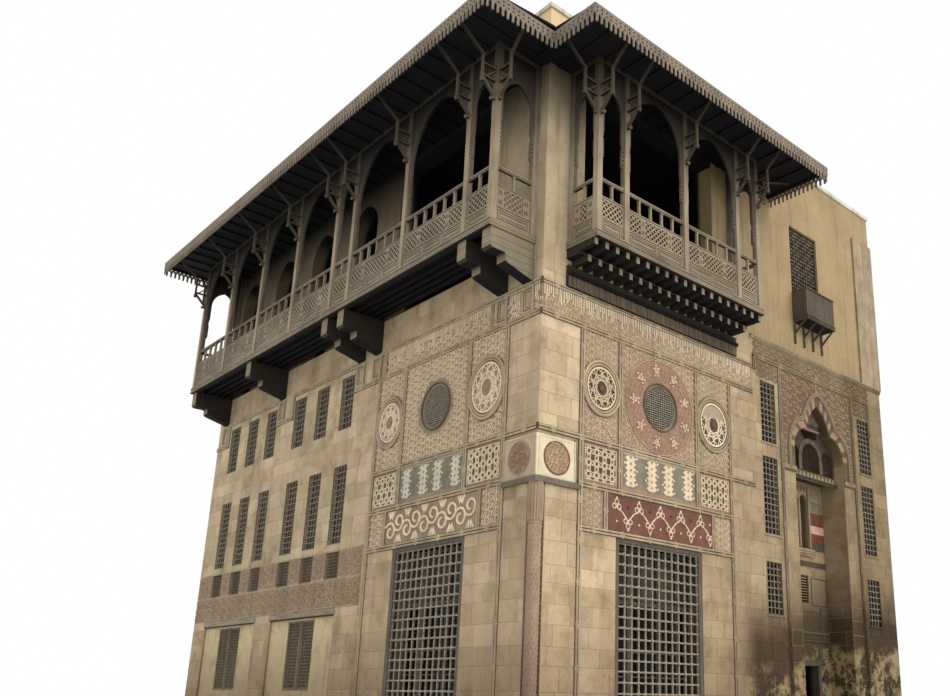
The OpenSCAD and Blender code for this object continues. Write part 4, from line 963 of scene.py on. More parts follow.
class FACADE_OT_mouldings(bpy.types.Operator):
    """Turns the mouldings of both fronts into double rolls with loops, rings and stepped lines"""
    bl_idname = "facade.mouldings"
    bl_label = "Mouldings"

    def execute(self, context):
        half = ROLL / 2
        for front in ("left", "right"):
            bm = bmesh.new()
            f, mid = FIELDS[front], MIDDLE[front]
            ends = (f[0], 0.0) if front == "left" else (0.0, RIGHT_END)
            level = [(f[0], f[3] + ROLL, z + half) for z in LEVELS[:2]]
            level += [(*ends, z + half) for z in LEVELS[2:]]
            upright = [(x + half, FOOT, LEVELS[3]) for x in (f[0], f[3])]
            upright += [(x + half, LEVELS[1] + ROLL, LEVELS[3]) for x in (f[1], f[2])]
            upright += [(x + half / 2, LEVELS[0] + ROLL, LEVELS[1])
                        for x in (f[0] + BAND_IN, f[3] - BAND_IN + half)]
            for x, radius in roundels(front):
                apart(bm, ring, x, ROUND_Z, radius, place=stretched_upright())
            apart(bm, hoop, mid, ROUND_Z, ROUND_R + 0.03, tube_profile(0.022, 0.02, 8), 1, 56)
            if front == "left":
                # the string course steps up and down along the wing
                stops = [f[0], *STEPS, -DEPTH]
                level += [(stops[i + 1], stops[i], LEVELS[3] + half) for i in (0, 2, 4)]
                level += [(stops[i + 1], stops[i] + ROLL, LEVELS[4] + half) for i in (1, 3)]
                upright += [(x + half, LEVELS[3], LEVELS[4] + ROLL) for x in STEPS]
                upright += [(x + half, LEVELS[3] + ROLL, LEVELS[4]) for x in (LEFT_POSTS[5] + 0.12,
                                                                              LEFT_POSTS[7] - 0.42)]
                for x in CORBELS:
                    slab(bm, x - 0.2, LEVELS[3] + 0.08, x + 0.2, LEVELS[4] - 0.001, 0, 0.008, 1)
                    apart(bm, border, x - 0.19, LEVELS[3] + 0.09, x + 0.19, LEVELS[4] - 0.001, 0.05, 0, 0.05)
                    apart(bm, border, x - 0.11, LEVELS[3] + 0.18, x + 0.11, LEVELS[4] - 0.08, 0.026, 0, 0.03)
                    slab(bm, x - 0.06, LEVELS[3] + 0.23, x + 0.06, LEVELS[4] - 0.13, 0, 0.02)
            else:
                apart(bm, hoop, mid, ROUND_Z, DISC_R - 0.025, tube_profile(0.014, 0.012, 6), 0, 64)
                top = LOW - 0.54
                level.append((*FRAME, top - half))
                upright += [(PORTAL_X + side * PORTAL_LINE, FOOT, top - ROLL) for side in (-1, 1)]
                upright += [(FRAME[0] + half, LEVELS[4], top - ROLL),
                            (FRAME[1] - half, LEVELS[3], top - ROLL)]
                for z, out in ((LOW - 0.03, 0.06), (LOW - 0.075, 0.045), (LOW - 0.105, 0.025)):
                    slab(bm, RIGHT_END, z - 0.018, WIDTH, z + 0.03, 0, out)
            for a, b, z in level:
                apart(bm, double_roll, (a, z), (b, z))
            for x, a, b in upright:
                apart(bm, double_roll, (x, a), (x, b))
            piece(front + "_front_mouldings", bm, ["moulded_limestone", "shaded_groove_stone"], front,
                  40, (front + "_mouldings",))
        return {"FINISHED"}


# Carving and inlay
INLAYS = ("carved_limestone", "carved_limestone_ground", "red_marble_inlay", "rose_carved_ground",
          "cream_marble_inlay", "black_paste_inlay", "blue_grey_marble", "white_marble_inlay",
          "dark_red_ground", "worn_cell_stone", "pink_limestone", "shaded_groove_stone", "moulded_limestone",
          "portal_limestone")
(RAISED, SUNK, RED, ROSE, CREAM, BLACK, BLUE, WHITE, WINE, CELL, PINK, SHADE, MOULD,
 PORTAL) = range(len(INLAYS))


def rosette(bm, x, z, radius, straps, cells, heart, w, bare=0.0):
    """A ten-fold rosette; above the share bare of its height the straps have worn away."""
    disc(bm, x, z, radius, -0.004, 0.009, MOULD if bare else cells, 48)
    if bare:
        start = math.asin(1 - 2 * bare)
        turns = [math.pi - start + (math.pi + 2 * start) * k / 24 for k in range(25)]
        prism(bm, [(x + radius * math.cos(t), z + radius * math.sin(t)) for t in turns], 0.004, 0.012, cells)
    area = (x - radius, z - radius, x + radius, z + radius - 2 * radius * bare)
    lines = star_lines(10, 3, radius, x, z) + star_lines(10, 3, 0.62 * radius, x, z, math.pi / 10)
    for k in range(10):
        turn = math.pi * (2 * k + 1) / 10
        lines.append(((x + 0.4 * radius * math.cos(turn), z + 0.4 * radius * math.sin(turn)),
                      (x + radius * math.cos(turn), z + radius * math.sin(turn))))
    straps_in(bm, lines, area, w, 0.01, 0.03, straps)
    hoop(bm, x, z, radius, ((-0.02, 0), (-0.02, 0.032), (0.01, 0.032), (0.01, 0)), straps, 48)
    disc(bm, x, z, 0.07, 0.01, 0.034, heart, 6)


def palmette(bm, x, z, turn, size, index):
    """A cream palmette: a diamond loop between leaves, its stem towards the centre."""
    loop = [(0, 0.62), (0.36, 0.2), (0, -0.3), (-0.36, 0.2)]
    leaves = [((0, 0.86), 0.13), ((0.5, 0.42), 0.12), ((-0.5, 0.42), 0.12), ((0.3, -0.5), 0.11),
              ((-0.3, -0.5), 0.11), ((0, 0.15), 0.1)]
    c, s = math.cos(turn), math.sin(turn)

    def spot(px, pz):
        return x + size * (px * c - pz * s), z + size * (px * s + pz * c)
    for a, b in zip(loop, loop[1:] + loop[:1]):
        strap(bm, spot(*a), spot(*b), 0.027, 0.008, 0.042, index)
    for (px, pz), r in leaves:
        u, v = spot(px, pz)
        disc(bm, u, v, r * size * 1.2, 0.008, 0.04, index, 6)


def trefoil(bm, x, z, way, index):
    """Three small loops and a bud on the crest of a wave."""
    for dx, dz, r in ((-0.075, 0.0, 0.052), (0.075, 0.0, 0.052), (0.0, 0.1, 0.054)):
        hoop(bm, x + dx, z + way * dz, r, tube_profile(0.017, 0.014, 4), index, 9)
    disc(bm, x, z + way * 0.18, 0.034, 0.004, 0.02, index, 4)
    strap(bm, (x, z - way * 0.03), (x, z + way * 0.05), 0.03, 0.004, 0.02, index)


class FACADE_OT_carving(bpy.types.Operator):
    """Carves and inlays the fields, bands and roundels of both fronts"""
    bl_idname = "facade.carving"
    bl_label = "Carving and inlay"

    def execute(self, context):
        carving = settings(context, "carving")
        curl_mesh()
        for front in ("left", "right"):
            bm = bmesh.new()
            self.fields(bm, front, carving)
            self.lintel(bm, front)
            self.scroll_band(bm, front)
            piece(front + "_front_carving", bm, INLAYS, front)
        bm = bmesh.new()
        self.wing(bm, carving)
        piece("wing_carving", bm, INLAYS, "left")
        return {"FINISHED"}

    def fields(self, bm, front, carving):
        f, mid = FIELDS[front], MIDDLE[front]
        right = front == "right"
        pitch, rise, w = carving.pitch, carving.rise, carving.strap
        low, high = LEVELS[2] + ROLL + 0.02, LEVELS[3] - 0.02
        for (x, radius), a, b in zip(roundels(front), (f[0], f[2]), (f[1], f[3])):
            def in_ring(px, pz, x=x, radius=radius):
                return math.hypot(px - x, (pz - ROUND_Z) / ROUNDEL_TALL) < radius + 0.04
            carved(bm, (a + ROLL + 0.03, low, b - 0.03, high), pitch, rise, SUNK, RAISED, in_ring)
        looks = ((RAISED, SUNK, SUNK, w * 1.3, 0.0),) * 2
        if right:
            looks = ((CREAM, CELL, RED, w * 0.85, 0.0), (RAISED, CELL, RED, w, 0.34))
        for (x, radius), look in zip(roundels(front), looks):
            apart(bm, rosette, x, ROUND_Z, radius - 0.145, *look, place=stretched_upright())
        # the middle field, round its window
        inner = (f[1] + ROLL + 0.03, low, f[2] - 0.03, high)
        edge = DISC_R if right else ROUND_R + 0.12

        def in_disc(px, pz):
            return math.hypot(px - mid, pz - ROUND_Z) < edge + 0.03
        hole = (mid - 0.62, ROUND_Z - 0.62, mid + 0.62, ROUND_Z + 0.62)
        carved(bm, inner, pitch, rise, ROSE if right else SUNK, RAISED, in_disc, hole)
        hoop(bm, mid, ROUND_Z, 0.53, ((0, -0.004), (0, 0.006), (0.36, 0.006), (0.36, -0.004)), SUNK, 48)
        if right:
            hoop(bm, mid, ROUND_Z, 0.56, ((0, 0), (0, 0.009), (0.51, 0.009), (0.51, 0)), ROSE, 64)

            def off_disc(px, pz):
                return not 0.61 < math.hypot(px - mid, pz - ROUND_Z) < 1.04
            around = (mid - 1.08, ROUND_Z - 1.08, mid + 1.08, ROUND_Z + 1.08)
            apart(bm, scrolls, around, pitch * 1.5, rise * 0.5, PINK, off_disc, 1)
            for k in range(9):
                turn = 2 * math.pi * (k + 0.25) / 9
                x, z = mid - 0.83 * math.sin(turn), ROUND_Z + 0.83 * math.cos(turn)
                apart(bm, palmette, x, z, turn, 0.175, CREAM)
            border(bm, inner[0] - 0.03, low - 0.02, inner[2] + 0.03, high + 0.02, 0.03, -0.004, 0.012, WINE)
            # a pointed line over the tendrils under each roundel
            for x0, x1 in ((f[0] + ROLL + 0.1, f[1] - 0.1), (f[2] + ROLL + 0.1, f[3] - 0.1)):
                half = [(0, 0), (0.16, 0.1), (0.3, 0.55), (0.4, 0.62), (0.5, 1)]
                shape = half + [(1 - u, v) for u, v in reversed(half[:-1])]
                line = [(x0 + (x1 - x0) * u, low + 0.08 + 0.36 * v) for u, v in shape]
                for p, q in zip(line, line[1:]):
                    strap(bm, p, q, 0.026, 0.004, 0.03, PINK)
        # the panels of interlaced stars, and small carved ends under them
        a, b = LEVELS[1] + ROLL + 0.015, LEVELS[2] - 0.015
        for x0, x1 in ((f[0] + ROLL + 0.01, f[1] - 0.01), (f[2] + ROLL + 0.01, f[3] - 0.01)):
            tones = (CELL, CREAM, ROSE) if right else (SHADE, RAISED, SUNK)
            apart(bm, star_panel, (x0, a, x1, b), 0.22, w, *tones)
        low_end, high_end = LEVELS[0] + ROLL + 0.02, LEVELS[1] - 0.02
        for x0, x1 in ((f[0] + ROLL + 0.03, f[0] + BAND_IN - 0.05), (f[3] - BAND_IN + 0.12, f[3] - 0.03)):
            carved(bm, (x0, low_end, x1, high_end), pitch, rise, SUNK, RAISED)
        # the tall band over the fields
        x0, x1 = (f[0] + 0.3, -0.02) if front == "left" else (0.02, RIGHT_END - 0.02)
        z0, z1 = LEVELS[3] + ROLL + 0.02, LEVELS[4] - 0.02
        slab(bm, x0, z0, x1, z1, -0.004, 0.005, SUNK)

        def by_corbel(px, pz):
            return any(abs(px - x) < 0.2 for x in CORBELS)
        skip = by_corbel if front == "left" else None
        apart(bm, scrolls, (x0, z0, x1, z0 + 0.36), pitch * 1.05, rise, RAISED, skip, 2)
        x = x0 + 0.04
        rng = random.Random(11)
        while x < x1 - 0.04:
            if not (skip and skip(x, 0)):
                tall = rng.uniform(0.12, 0.34)
                strap(bm, (x, z1 - 0.02 - tall), (x, z1 - 0.015), 0.02, 0.004, 0.004 + rise, RAISED)
            x += rng.uniform(0.045, 0.07)

    def lintel(self, bm, front):
        """Joggled stones of two colours in the middle panel"""
        f = FIELDS[front]
        x0, x1 = f[1] + ROLL + 0.02, f[2] - 0.02
        z0, z1 = LEVELS[1] + ROLL + 0.015, LEVELS[2] - 0.015
        pale, foot = (CREAM, ROSE) if front == "right" else (WHITE, SUNK)
        slab(bm, x0, z0, x1, z1, -0.004, 0.008, BLUE)
        slab(bm, x0, z0, x1, z0 + 0.1, 0.004, 0.011, foot)
        slab(bm, x0, z1 - 0.06, x1, z1, 0.004, 0.011, MOULD)
        n = 4
        wide = (x1 - x0) / n
        for k in range(n):
            x = x0 + (k + 0.5) * wide + (0.03 if k % 2 else -0.03)
            prism(bm, tooth_column(x, z0 + 0.12, z1 - 0.07, 0.17, 0.09, 6), 0.006, 0.014, pale)
            for j in range(5):
                z = z0 + 0.2 + j * (z1 - z0 - 0.3) / 4
                disc(bm, x + 0.19 * (1 - 2 * (j % 2)), z, 0.03, 0.006, 0.015, pale, 6)
                disc(bm, x, z, 0.035, 0.012, 0.018, SUNK, 4)

    def scroll_band(self, bm, front):
        """The wide band over the big window"""
        f = FIELDS[front]
        x0, x1 = f[0] + BAND_IN + 0.08, f[3] - BAND_IN
        z0, z1 = LEVELS[0] + ROLL + 0.015, LEVELS[1] - 0.015
        if front == "left":
            slab(bm, x0, z0, x1, z1, -0.004, 0.006, SUNK)
            apart(bm, self.vine, x0 + 0.06, x1 - 0.06, z0, z1)
            return
        slab(bm, x0, z0, x1, z1, -0.004, 0.007, WINE)
        n = 5
        step = (x1 - x0) / n
        up, down = z1 - 0.26, z0 + 0.26
        for k in range(n):
            x = x0 + (k + 0.4) * step
            apart(bm, trefoil, x, up, 1, CREAM)
            apart(bm, trefoil, x + step / 2, down, -1, CREAM)
            for side in (-1, 1) if k else (1,):
                foot = x + side * step / 2
                bend = (x + side * step * 0.22, (up + down) / 2 + 0.05)
                strap(bm, (x + side * 0.04, up - 0.045), bend, 0.029, 0.004, 0.02, CREAM)
                strap(bm, bend, (foot - side * 0.04, down + 0.045), 0.029, 0.004, 0.02, CREAM)
                disc(bm, foot, up + 0.02, 0.024, 0.004, 0.018, CREAM, 8)
            disc(bm, x, down - 0.03, 0.024, 0.004, 0.018, CREAM, 8)

    def vine(self, bm, x0, x1, z0, z1):
        """Large open spirals that rise and fall along the band, with fans of short leaves between them"""
        n = 10
        step, high = (x1 - x0) / n, z1 - z0
        for k in range(n):
            way = (1, -1)[k % 2]
            x, z = x0 + (k + 0.5) * step, z0 + (0.5 - 0.13 * way) * high
            path = []
            for j in range(17):
                turn, reach = math.radians(way * (150 - 27 * j)), 0.225 * (1 - 0.043 * j)
                path.append((x + reach * math.cos(turn), z + reach * math.sin(turn)))
            for a, b in zip(path, path[1:]):
                rod(bm, (a[0], 0.02, a[1]), (b[0], 0.02, b[1]), 0.028, 5, RAISED)
            for lean in (-0.12, -0.04, 0.04, 0.12):
                foot = (x + 0.2 * lean, z0 + (0.5 + 0.24 * way) * high)
                strap(bm, foot, (x + lean, z0 + (0.5 + 0.45 * way) * high), 0.032, 0.004, 0.024, RAISED)

    def wing(self, bm, carving):
        """The band and the panels between the lowest windows of the side wing"""
        x0, x1 = -DEPTH + 0.03, -CORNER_END - 0.04
        carved(bm, (x0, LINTEL[1] + 0.08, x1, 4.26), carving.pitch * 1.5, carving.rise, ROSE, MOULD)
        edges = [x0]
        for x in WING:
            edges += [x - WINDOW_W / 2 - 0.05, x + WINDOW_W / 2 + 0.05]
        edges.append(x1)
        for a, b in zip(edges[::2], edges[1::2]):
            low, high = WING_ROWS[0]
            carved(bm, (a + 0.02, low + 0.02, b - 0.02, high - 0.02), carving.pitch * 1.5, carving.rise, ROSE,
                   MOULD)
        for z in (LINTEL[1] + 0.05, 4.28, 4.99):
            slab(bm, x0, z, x1, z + 0.025, -0.004, 0.016, MOULD)


class FACADE_OT_corner(bpy.types.Operator):
    """Carves the corner shaft and lays the round inlays of the corner stones"""
    bl_idname = "facade.corner"
    bl_label = "Corner stones"

    def execute(self, context):
        carving = settings(context, "carving")
        for front in ("left", "right"):
            bm = bmesh.new()
            side = -1 if front == "left" else 1
            x, z, red = side * 0.50, 6.13, front == "right"
            if not red:
                slab(bm, -0.975, 5.73, -0.003, 6.54, 0.026, 0.0315, MOULD)
            disc(bm, x, z, 0.335, 0.029, 0.0345, ROSE if red else SUNK, 48)
            hoop(bm, x, z, 0.33, ((-0.012, 0.03), (-0.012, 0.042), (0.016, 0.042), (0.016, 0.03)),
                 RED if red else SUNK, 48)

            def outside(px, pz, x=x, z=z):
                return math.hypot(px - x, pz - z) > 0.29
            apart(bm, scrolls, (x - 0.3, z - 0.3, x + 0.3, z + 0.3), 0.1, carving.rise,
                  CREAM if red else ROSE, outside, place=Matrix.Translation((0, -0.03, 0)))
            a, b = sorted((side * 0.03, side))
            border(bm, a, 5.72, b, 6.54, 0.03, 0.029, 0.038, WHITE if red else MOULD)
            slab(bm, side * 1.0 - 0.035, 5.70, side * 1.0 + 0.035, 6.60, -0.002, 0.034, BLUE)
            piece(front + "_corner_emblem", bm, INLAYS, front)
        # lozenges cut all over the shaft
        bm = bmesh.new()
        low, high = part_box("corner_column")
        x, y = (low.x + high.x) / 2, (low.y + high.y) / 2
        radius = (high.x - low.x) / 2 * 0.85
        bottom, top = low.z + 0.26, high.z - 0.82
        around, rows, flutes = 12, round((top - bottom) / 0.092), 16
        on_face = Matrix.Translation((0, -radius - 0.004, 0))
        facing = Matrix.Diagonal((0.8, 1, 1.15, 1)) @ Matrix.Rotation(math.pi / 2, 4, "X")

        def studs(row, shift):
            for i in range(around):
                turn = Matrix.Rotation(2 * math.pi * (i + shift) / around, 4, "Z")
                bmesh.ops.create_cone(row, cap_ends=False, segments=4, radius1=0.046, radius2=0.006,
                                      depth=0.016, matrix=turn @ on_face @ facing)
        for j in range(rows):
            z = bottom + (top - bottom) * (j + 0.5) / rows
            apart(bm, studs, 0.5 * (j % 2), place=Matrix.Translation((x, y, z)))
        for i in range(flutes):
            turn = Matrix.Rotation(2 * math.pi * i / flutes, 4, "Z")
            place = Matrix.Translation((x, y, (high.z + top) / 2)) @ turn @ on_face
            bmesh.ops.create_cone(bm, cap_ends=True, segments=6, radius1=0.022, radius2=0.036,
                                  depth=high.z - top - 0.12, matrix=place)
        for z in (low.z + 0.05, bottom - 0.02, top + 0.02, high.z - 0.05):
            place = Matrix.Translation((x, y, z))
            made = bmesh.ops.create_cone(bm, cap_ends=True, segments=32, radius1=radius + 0.02,
                                         radius2=radius + 0.02, depth=0.03, matrix=place)
            edges = {e for v in made["verts"] for e in v.link_edges}
            level = [e for e in edges if abs(e.verts[0].co.z - e.verts[1].co.z) < 1e-6]
            bmesh.ops.bevel(bm, geom=level, offset=0.01, segments=2, profile=0.5, affect="EDGES",
                            material=-1)
        piece("corner_shaft_carving", bm, ["carved_shaft_stone"], None, 40)
        return {"FINISHED"}


# Portal
class FACADE_OT_portal(bpy.types.Operator):
    """Dresses the portal: coloured voussoirs, carved spandrels, striped stones, slats and lattices"""
    bl_idname = "facade.portal"
    bl_label = "Portal"

    def execute(self, context):
        carving = settings(context, "carving")
        bm = bmesh.new()
        arch, back = lobed_arch(0.0), lobed_arch(0.215)
        rolls = [lobed_arch(0.245), lobed_arch(0.305)]
        for side in (-1, 1):
            inner = [(PORTAL_X - side * x, z) for x, z in arch]
            outer = [(PORTAL_X - side * x, z) for x, z in back]
            groove = [(PORTAL_X - side * x, z) for x, z in lobed_arch(0.25)]
            for k in range(len(inner) - 1):
                index = (SHADE, ROSE, WINE, SUNK, MOULD, WINE, ROSE)[k] if k < 7 else (SHADE, ROSE)[k % 2]
                prism(bm, [inner[k], inner[k + 1], outer[k + 1], outer[k]], 0, 0.014, index)
            for (p, q), (v, u) in zip(zip(outer, outer[1:]), zip(groove, groove[1:])):
                prism(bm, [p, q, u, v], 0, 0.006, SHADE)
            for line in rolls:
                for (xa, za), (xb, zb) in zip(line, line[1:]):
                    rod(bm, (PORTAL_X - side * xa, 0.05, za), (PORTAL_X - side * xb, 0.05, zb), 0.026, 6,
                        MOULD)
            edge = [(PORTAL_X - side * x, z) for x, z in lobed_arch(0.335)]
            rim = PORTAL_X + side * (PORTAL_LINE - 0.05)
            top = LOW - 0.54 - ROLL - 0.02
            prism(bm, [(rim, IMPOST + 0.06), (rim, top), (PORTAL_X, top), *reversed(edge[1:-1]),
                       (edge[0][0], IMPOST + 0.06)], -0.004, 0.006, ROSE if side < 0 else SUNK)

            def in_arch(px, pz, side=side):
                reach = [abs(x) for x, z in lobed_arch(0.335) if z >= pz]
                return abs(px - PORTAL_X) < (reach[0] if reach else 0) + 0.05
            area = (min(rim, PORTAL_X), IMPOST + 0.08, max(rim, PORTAL_X), top)
            apart(bm, scrolls, area, carving.pitch * 1.4, carving.rise, MOULD, in_arch, 1)
            # capping of each jamb at the impost
            x0, x1 = sorted((PORTAL_X + side * PORTAL_W / 2, rim))
            slab(bm, x0, IMPOST - 0.06, x1, IMPOST + 0.05, -0.004, 0.05, MOULD)
            slab(bm, x0, IMPOST - 0.10, x1, IMPOST - 0.06, -0.004, 0.03, SHADE)
        # knot at the hood's point
        hoop(bm, PORTAL_X, LOW - 0.48, 0.075, tube_profile(0.018, 0.03, 6), MOULD, 14)
        disc(bm, PORTAL_X, LOW - 0.48, 0.05, 0.0, 0.045, MOULD, 10)
        # carved fields beside the portal, over the side windows
        for x0, x1 in ((RIGHT_END + 0.2, PORTAL_X - PORTAL_LINE - 0.06),
                       (PORTAL_X + PORTAL_LINE + 0.06, 12.72)):
            carved(bm, (x0, 9.62, x1, 10.10), carving.pitch, carving.rise, ROSE if x0 < 9 else SUNK, MOULD)
        # the carved strip between the portal's frame and the string course
        carved(bm, (RIGHT_END + 0.08, LOW - 0.52, 12.9, LOW - 0.14), carving.pitch * 1.05, carving.rise, SUNK,
               MOULD)
        self.vault(bm, carving)
        piece("portal_carving", bm, INLAYS, "right")
        bm = bmesh.new()
        self.recess(bm)
        piece("portal_recess_dressing", bm, INLAYS + ("dark_lattice_timber", "old_window_glass"), "right")
        return {"FINISHED"}

    def vault(self, bm, carving):
        """The carved infill of the top lobe, the ring of the conch and the frieze on the impost"""
        wall = -0.30
        lobe = [(x, z) for x, z in lobed_arch(-0.03) if z > 8.95]
        low = [(lobe[0][0], 8.93)]
        shape = [(PORTAL_X + x, z) for x, z in low + lobe]
        shape += [(PORTAL_X - x, z) for x, z in reversed(low + lobe[:-1])]
        # the lobe's infill is painted in the dark cell tone, as the shade under the hood
        prism(bm, shape, wall, wall + 0.07, CELL)
        reach = -lobe[0][0]

        def off_lobe(px, pz):
            wide = [-x for x, z in lobe if z >= pz]
            return abs(px - PORTAL_X) > (wide[0] if wide else 0) - 0.05
        apart(bm, scrolls, (PORTAL_X - reach, 8.97, PORTAL_X + reach, 9.75), carving.pitch * 1.3,
              carving.rise * 1.4, SUNK, off_lobe, place=Matrix.Translation((0, -wall - 0.07, 0)))
        # the ledge under the lobe is painted dark as shade
        slab(bm, PORTAL_X - reach - 0.02, 8.84, PORTAL_X + reach + 0.02, 8.91, wall, wall + 0.05, CELL)
        slab(bm, PORTAL_X - reach - 0.02, 8.78, PORTAL_X + reach + 0.02, 8.81, wall, wall + 0.08, ROSE)
        # ring of stones round the conch and its legs, in the two dark tones that paint its shade
        for k in range(11):
            a, b = math.pi * k / 11, math.pi * (k + 1) / 11
            ring = [(PORTAL_X + r * math.cos(t), 7.99 + r * math.sin(t)) for r, t in
                    ((0.43, a), (0.57, a), (0.57, b), (0.43, b))]
            prism(bm, ring, wall, wall + 0.02, SHADE if k in (1, 4, 6, 9) else CELL)
        for side in (-1, 1):
            x0, x1 = sorted((PORTAL_X + side * 0.43, PORTAL_X + side * 0.57))
            slab(bm, x0, 7.78, x1, 7.99, wall, wall + 0.02, SHADE)
            slab(bm, x0, 7.62, x1, 7.78, wall, wall + 0.02, SHADE)
        # frieze of triangles over a roll, its ground and rolls painted dark as shade
        half = PORTAL_W / 2 - 0.02
        slab(bm, PORTAL_X - half, 7.44, PORTAL_X + half, 7.60, wall, wall + 0.01, SHADE)
        n = 13
        for k in range(n):
            x = PORTAL_X - half + 2 * half * (k + 0.5) / n
            prism(bm, [(x - 0.075, 7.455), (x + 0.075, 7.455), (x, 7.585)], wall, wall + 0.025, PORTAL)
        for z, out in ((7.40, 0.08), (7.345, 0.05)):
            rod(bm, (PORTAL_X - half, wall + out, z), (PORTAL_X + half, wall + out, z), 0.03, 8, CELL)

    def recess(self, bm):
        """Everything on the recess's back wall"""
        wood, glass = len(INLAYS), len(INLAYS) + 1
        wall = -PORTAL_IN
        half = PORTAL_W / 2
        # striped stones either side of the twin window, from the dark one up
        for z0, z1, index in ((5.57, 5.79, CELL), (5.80, 6.03, RED), (6.04, 6.26, PINK), (6.27, 6.61, RED),
                              (6.62, 6.92, BLUE), (6.93, 7.28, SUNK)):
            slab(bm, PORTAL_X + 0.50, z0, PORTAL_X + half, z1, wall, wall + 0.02, index)
            slab(bm, PORTAL_X - half, z0, PORTAL_X - 0.50, z1, wall, wall + 0.02, index)
        for z, tall, index in ((5.10, 0.14, CELL), (3.29, 0.05, CELL), (3.10, 0.04, CELL),
                               (3.15, 0.12, MOULD)):
            slab(bm, PORTAL_X - half, z, PORTAL_X + half, z + tall, wall, wall + 0.035, index)
        for xa, xb, za, zb in ((0.42, 1.15, 4.06, 4.80), (-1.15, -0.42, 4.06, 4.80), (-1.1, 0.78, 3.38, 3.90),
                               (0.90, 1.15, 3.38, 3.98), (-1.1, 0.80, 2.60, 3.02)):
            border(bm, PORTAL_X + xa, za, PORTAL_X + xb, zb, 0.022, wall, wall + 0.02, CELL)
            slab(bm, PORTAL_X + xa + 0.022, za + 0.022, PORTAL_X + xb - 0.022, zb - 0.022, wall, wall + 0.012,
                 MOULD)
        slab(bm, PORTAL_X + 0.80, 3.36, PORTAL_X + 0.88, 4.02, wall, wall + 0.03, CELL)
        # slatted window
        border(bm, PORTAL_X - 0.32, 4.10, PORTAL_X + 0.32, 4.85, 0.05, wall - 0.10, wall - 0.02, wood)
        for k in range(9):
            z = 4.19 + k * 0.072
            slab(bm, PORTAL_X - 0.27, z, PORTAL_X + 0.27, z + 0.026, wall - 0.09, wall - 0.03, MOULD)
        slab(bm, PORTAL_X - 0.32, 4.10, PORTAL_X + 0.32, 4.85, wall - 0.20, wall - 0.19, glass)
        # twin window with a colonnette and a sill on a corbel
        for side in (-1, 1):
            x = PORTAL_X + side * 0.2475
            slab(bm, x - 0.165, 5.6, x + 0.165, 7.1, wall - 0.22, wall - 0.21, glass)
            for k in range(1, 4):
                bar = x - 0.165 + k * 0.0825
                slab(bm, bar - 0.006, 5.6, bar + 0.006, 7.1, wall - 0.075, wall - 0.06, wood)
            for k in range(1, 18):
                z = 5.6 + k * 0.083
                slab(bm, x - 0.165, z, x + 0.165, z + 0.012, wall - 0.08, wall - 0.065, wood)
            jamb = PORTAL_X + side * 0.455
            rod(bm, (jamb, wall + 0.03, 5.6), (jamb, wall + 0.03, 7.2), 0.035, 10, SUNK)
        rod(bm, (PORTAL_X, wall + 0.02, 5.6), (PORTAL_X, wall + 0.02, 6.95), 0.04, 10, SUNK)
        for z, wide, out in ((5.44, 0.52, 0.10), (5.38, 0.47, 0.07), (5.50, 0.55, 0.12)):
            slab(bm, PORTAL_X - wide, z, PORTAL_X + wide, z + 0.06, wall, wall + out, SUNK)
        for k in range(7):
            x = PORTAL_X - 0.48 + k * 0.16
            disc(bm, x, 7.24, 0.06, wall, wall + 0.05, SUNK, 10)
        # frame of the doorway
        for side in (-1, 1):
            x = PORTAL_X + side * 0.65
            slab(bm, x - 0.07, 0.0, x + 0.07, 2.5, wall - 0.2, wall + 0.015, CELL)
        slab(bm, PORTAL_X - 0.72, 2.48, PORTAL_X + 0.72, 2.62, wall - 0.01, wall + 0.03, CELL)
        slab(bm, PORTAL_X + 0.73, 2.09, PORTAL_X + half, 2.19, wall, wall + 0.07, wood)


# Grilles and windows
def bars(bm, x0, z0, x1, z1, across, up, w, back, front, ball, ball_r, index, balls):
    """A grid of bars with a ball at every crossing."""
    wide, high = (x1 - x0) / across, (z1 - z0) / up
    for i in range(1, across):
        slab(bm, x0 + i * wide - w / 2, z0, x0 + i * wide + w / 2, z1, back, front, index)
    for j in range(1, up):
        slab(bm, x0, z0 + j * high - w / 2, x1, z0 + j * high + w / 2, back, front, index)
        for i in range(1, across):
            stamp(bm, ball, x0 + i * wide, z0 + j * high, (back + front) / 2, ball_r, 0, False, balls)


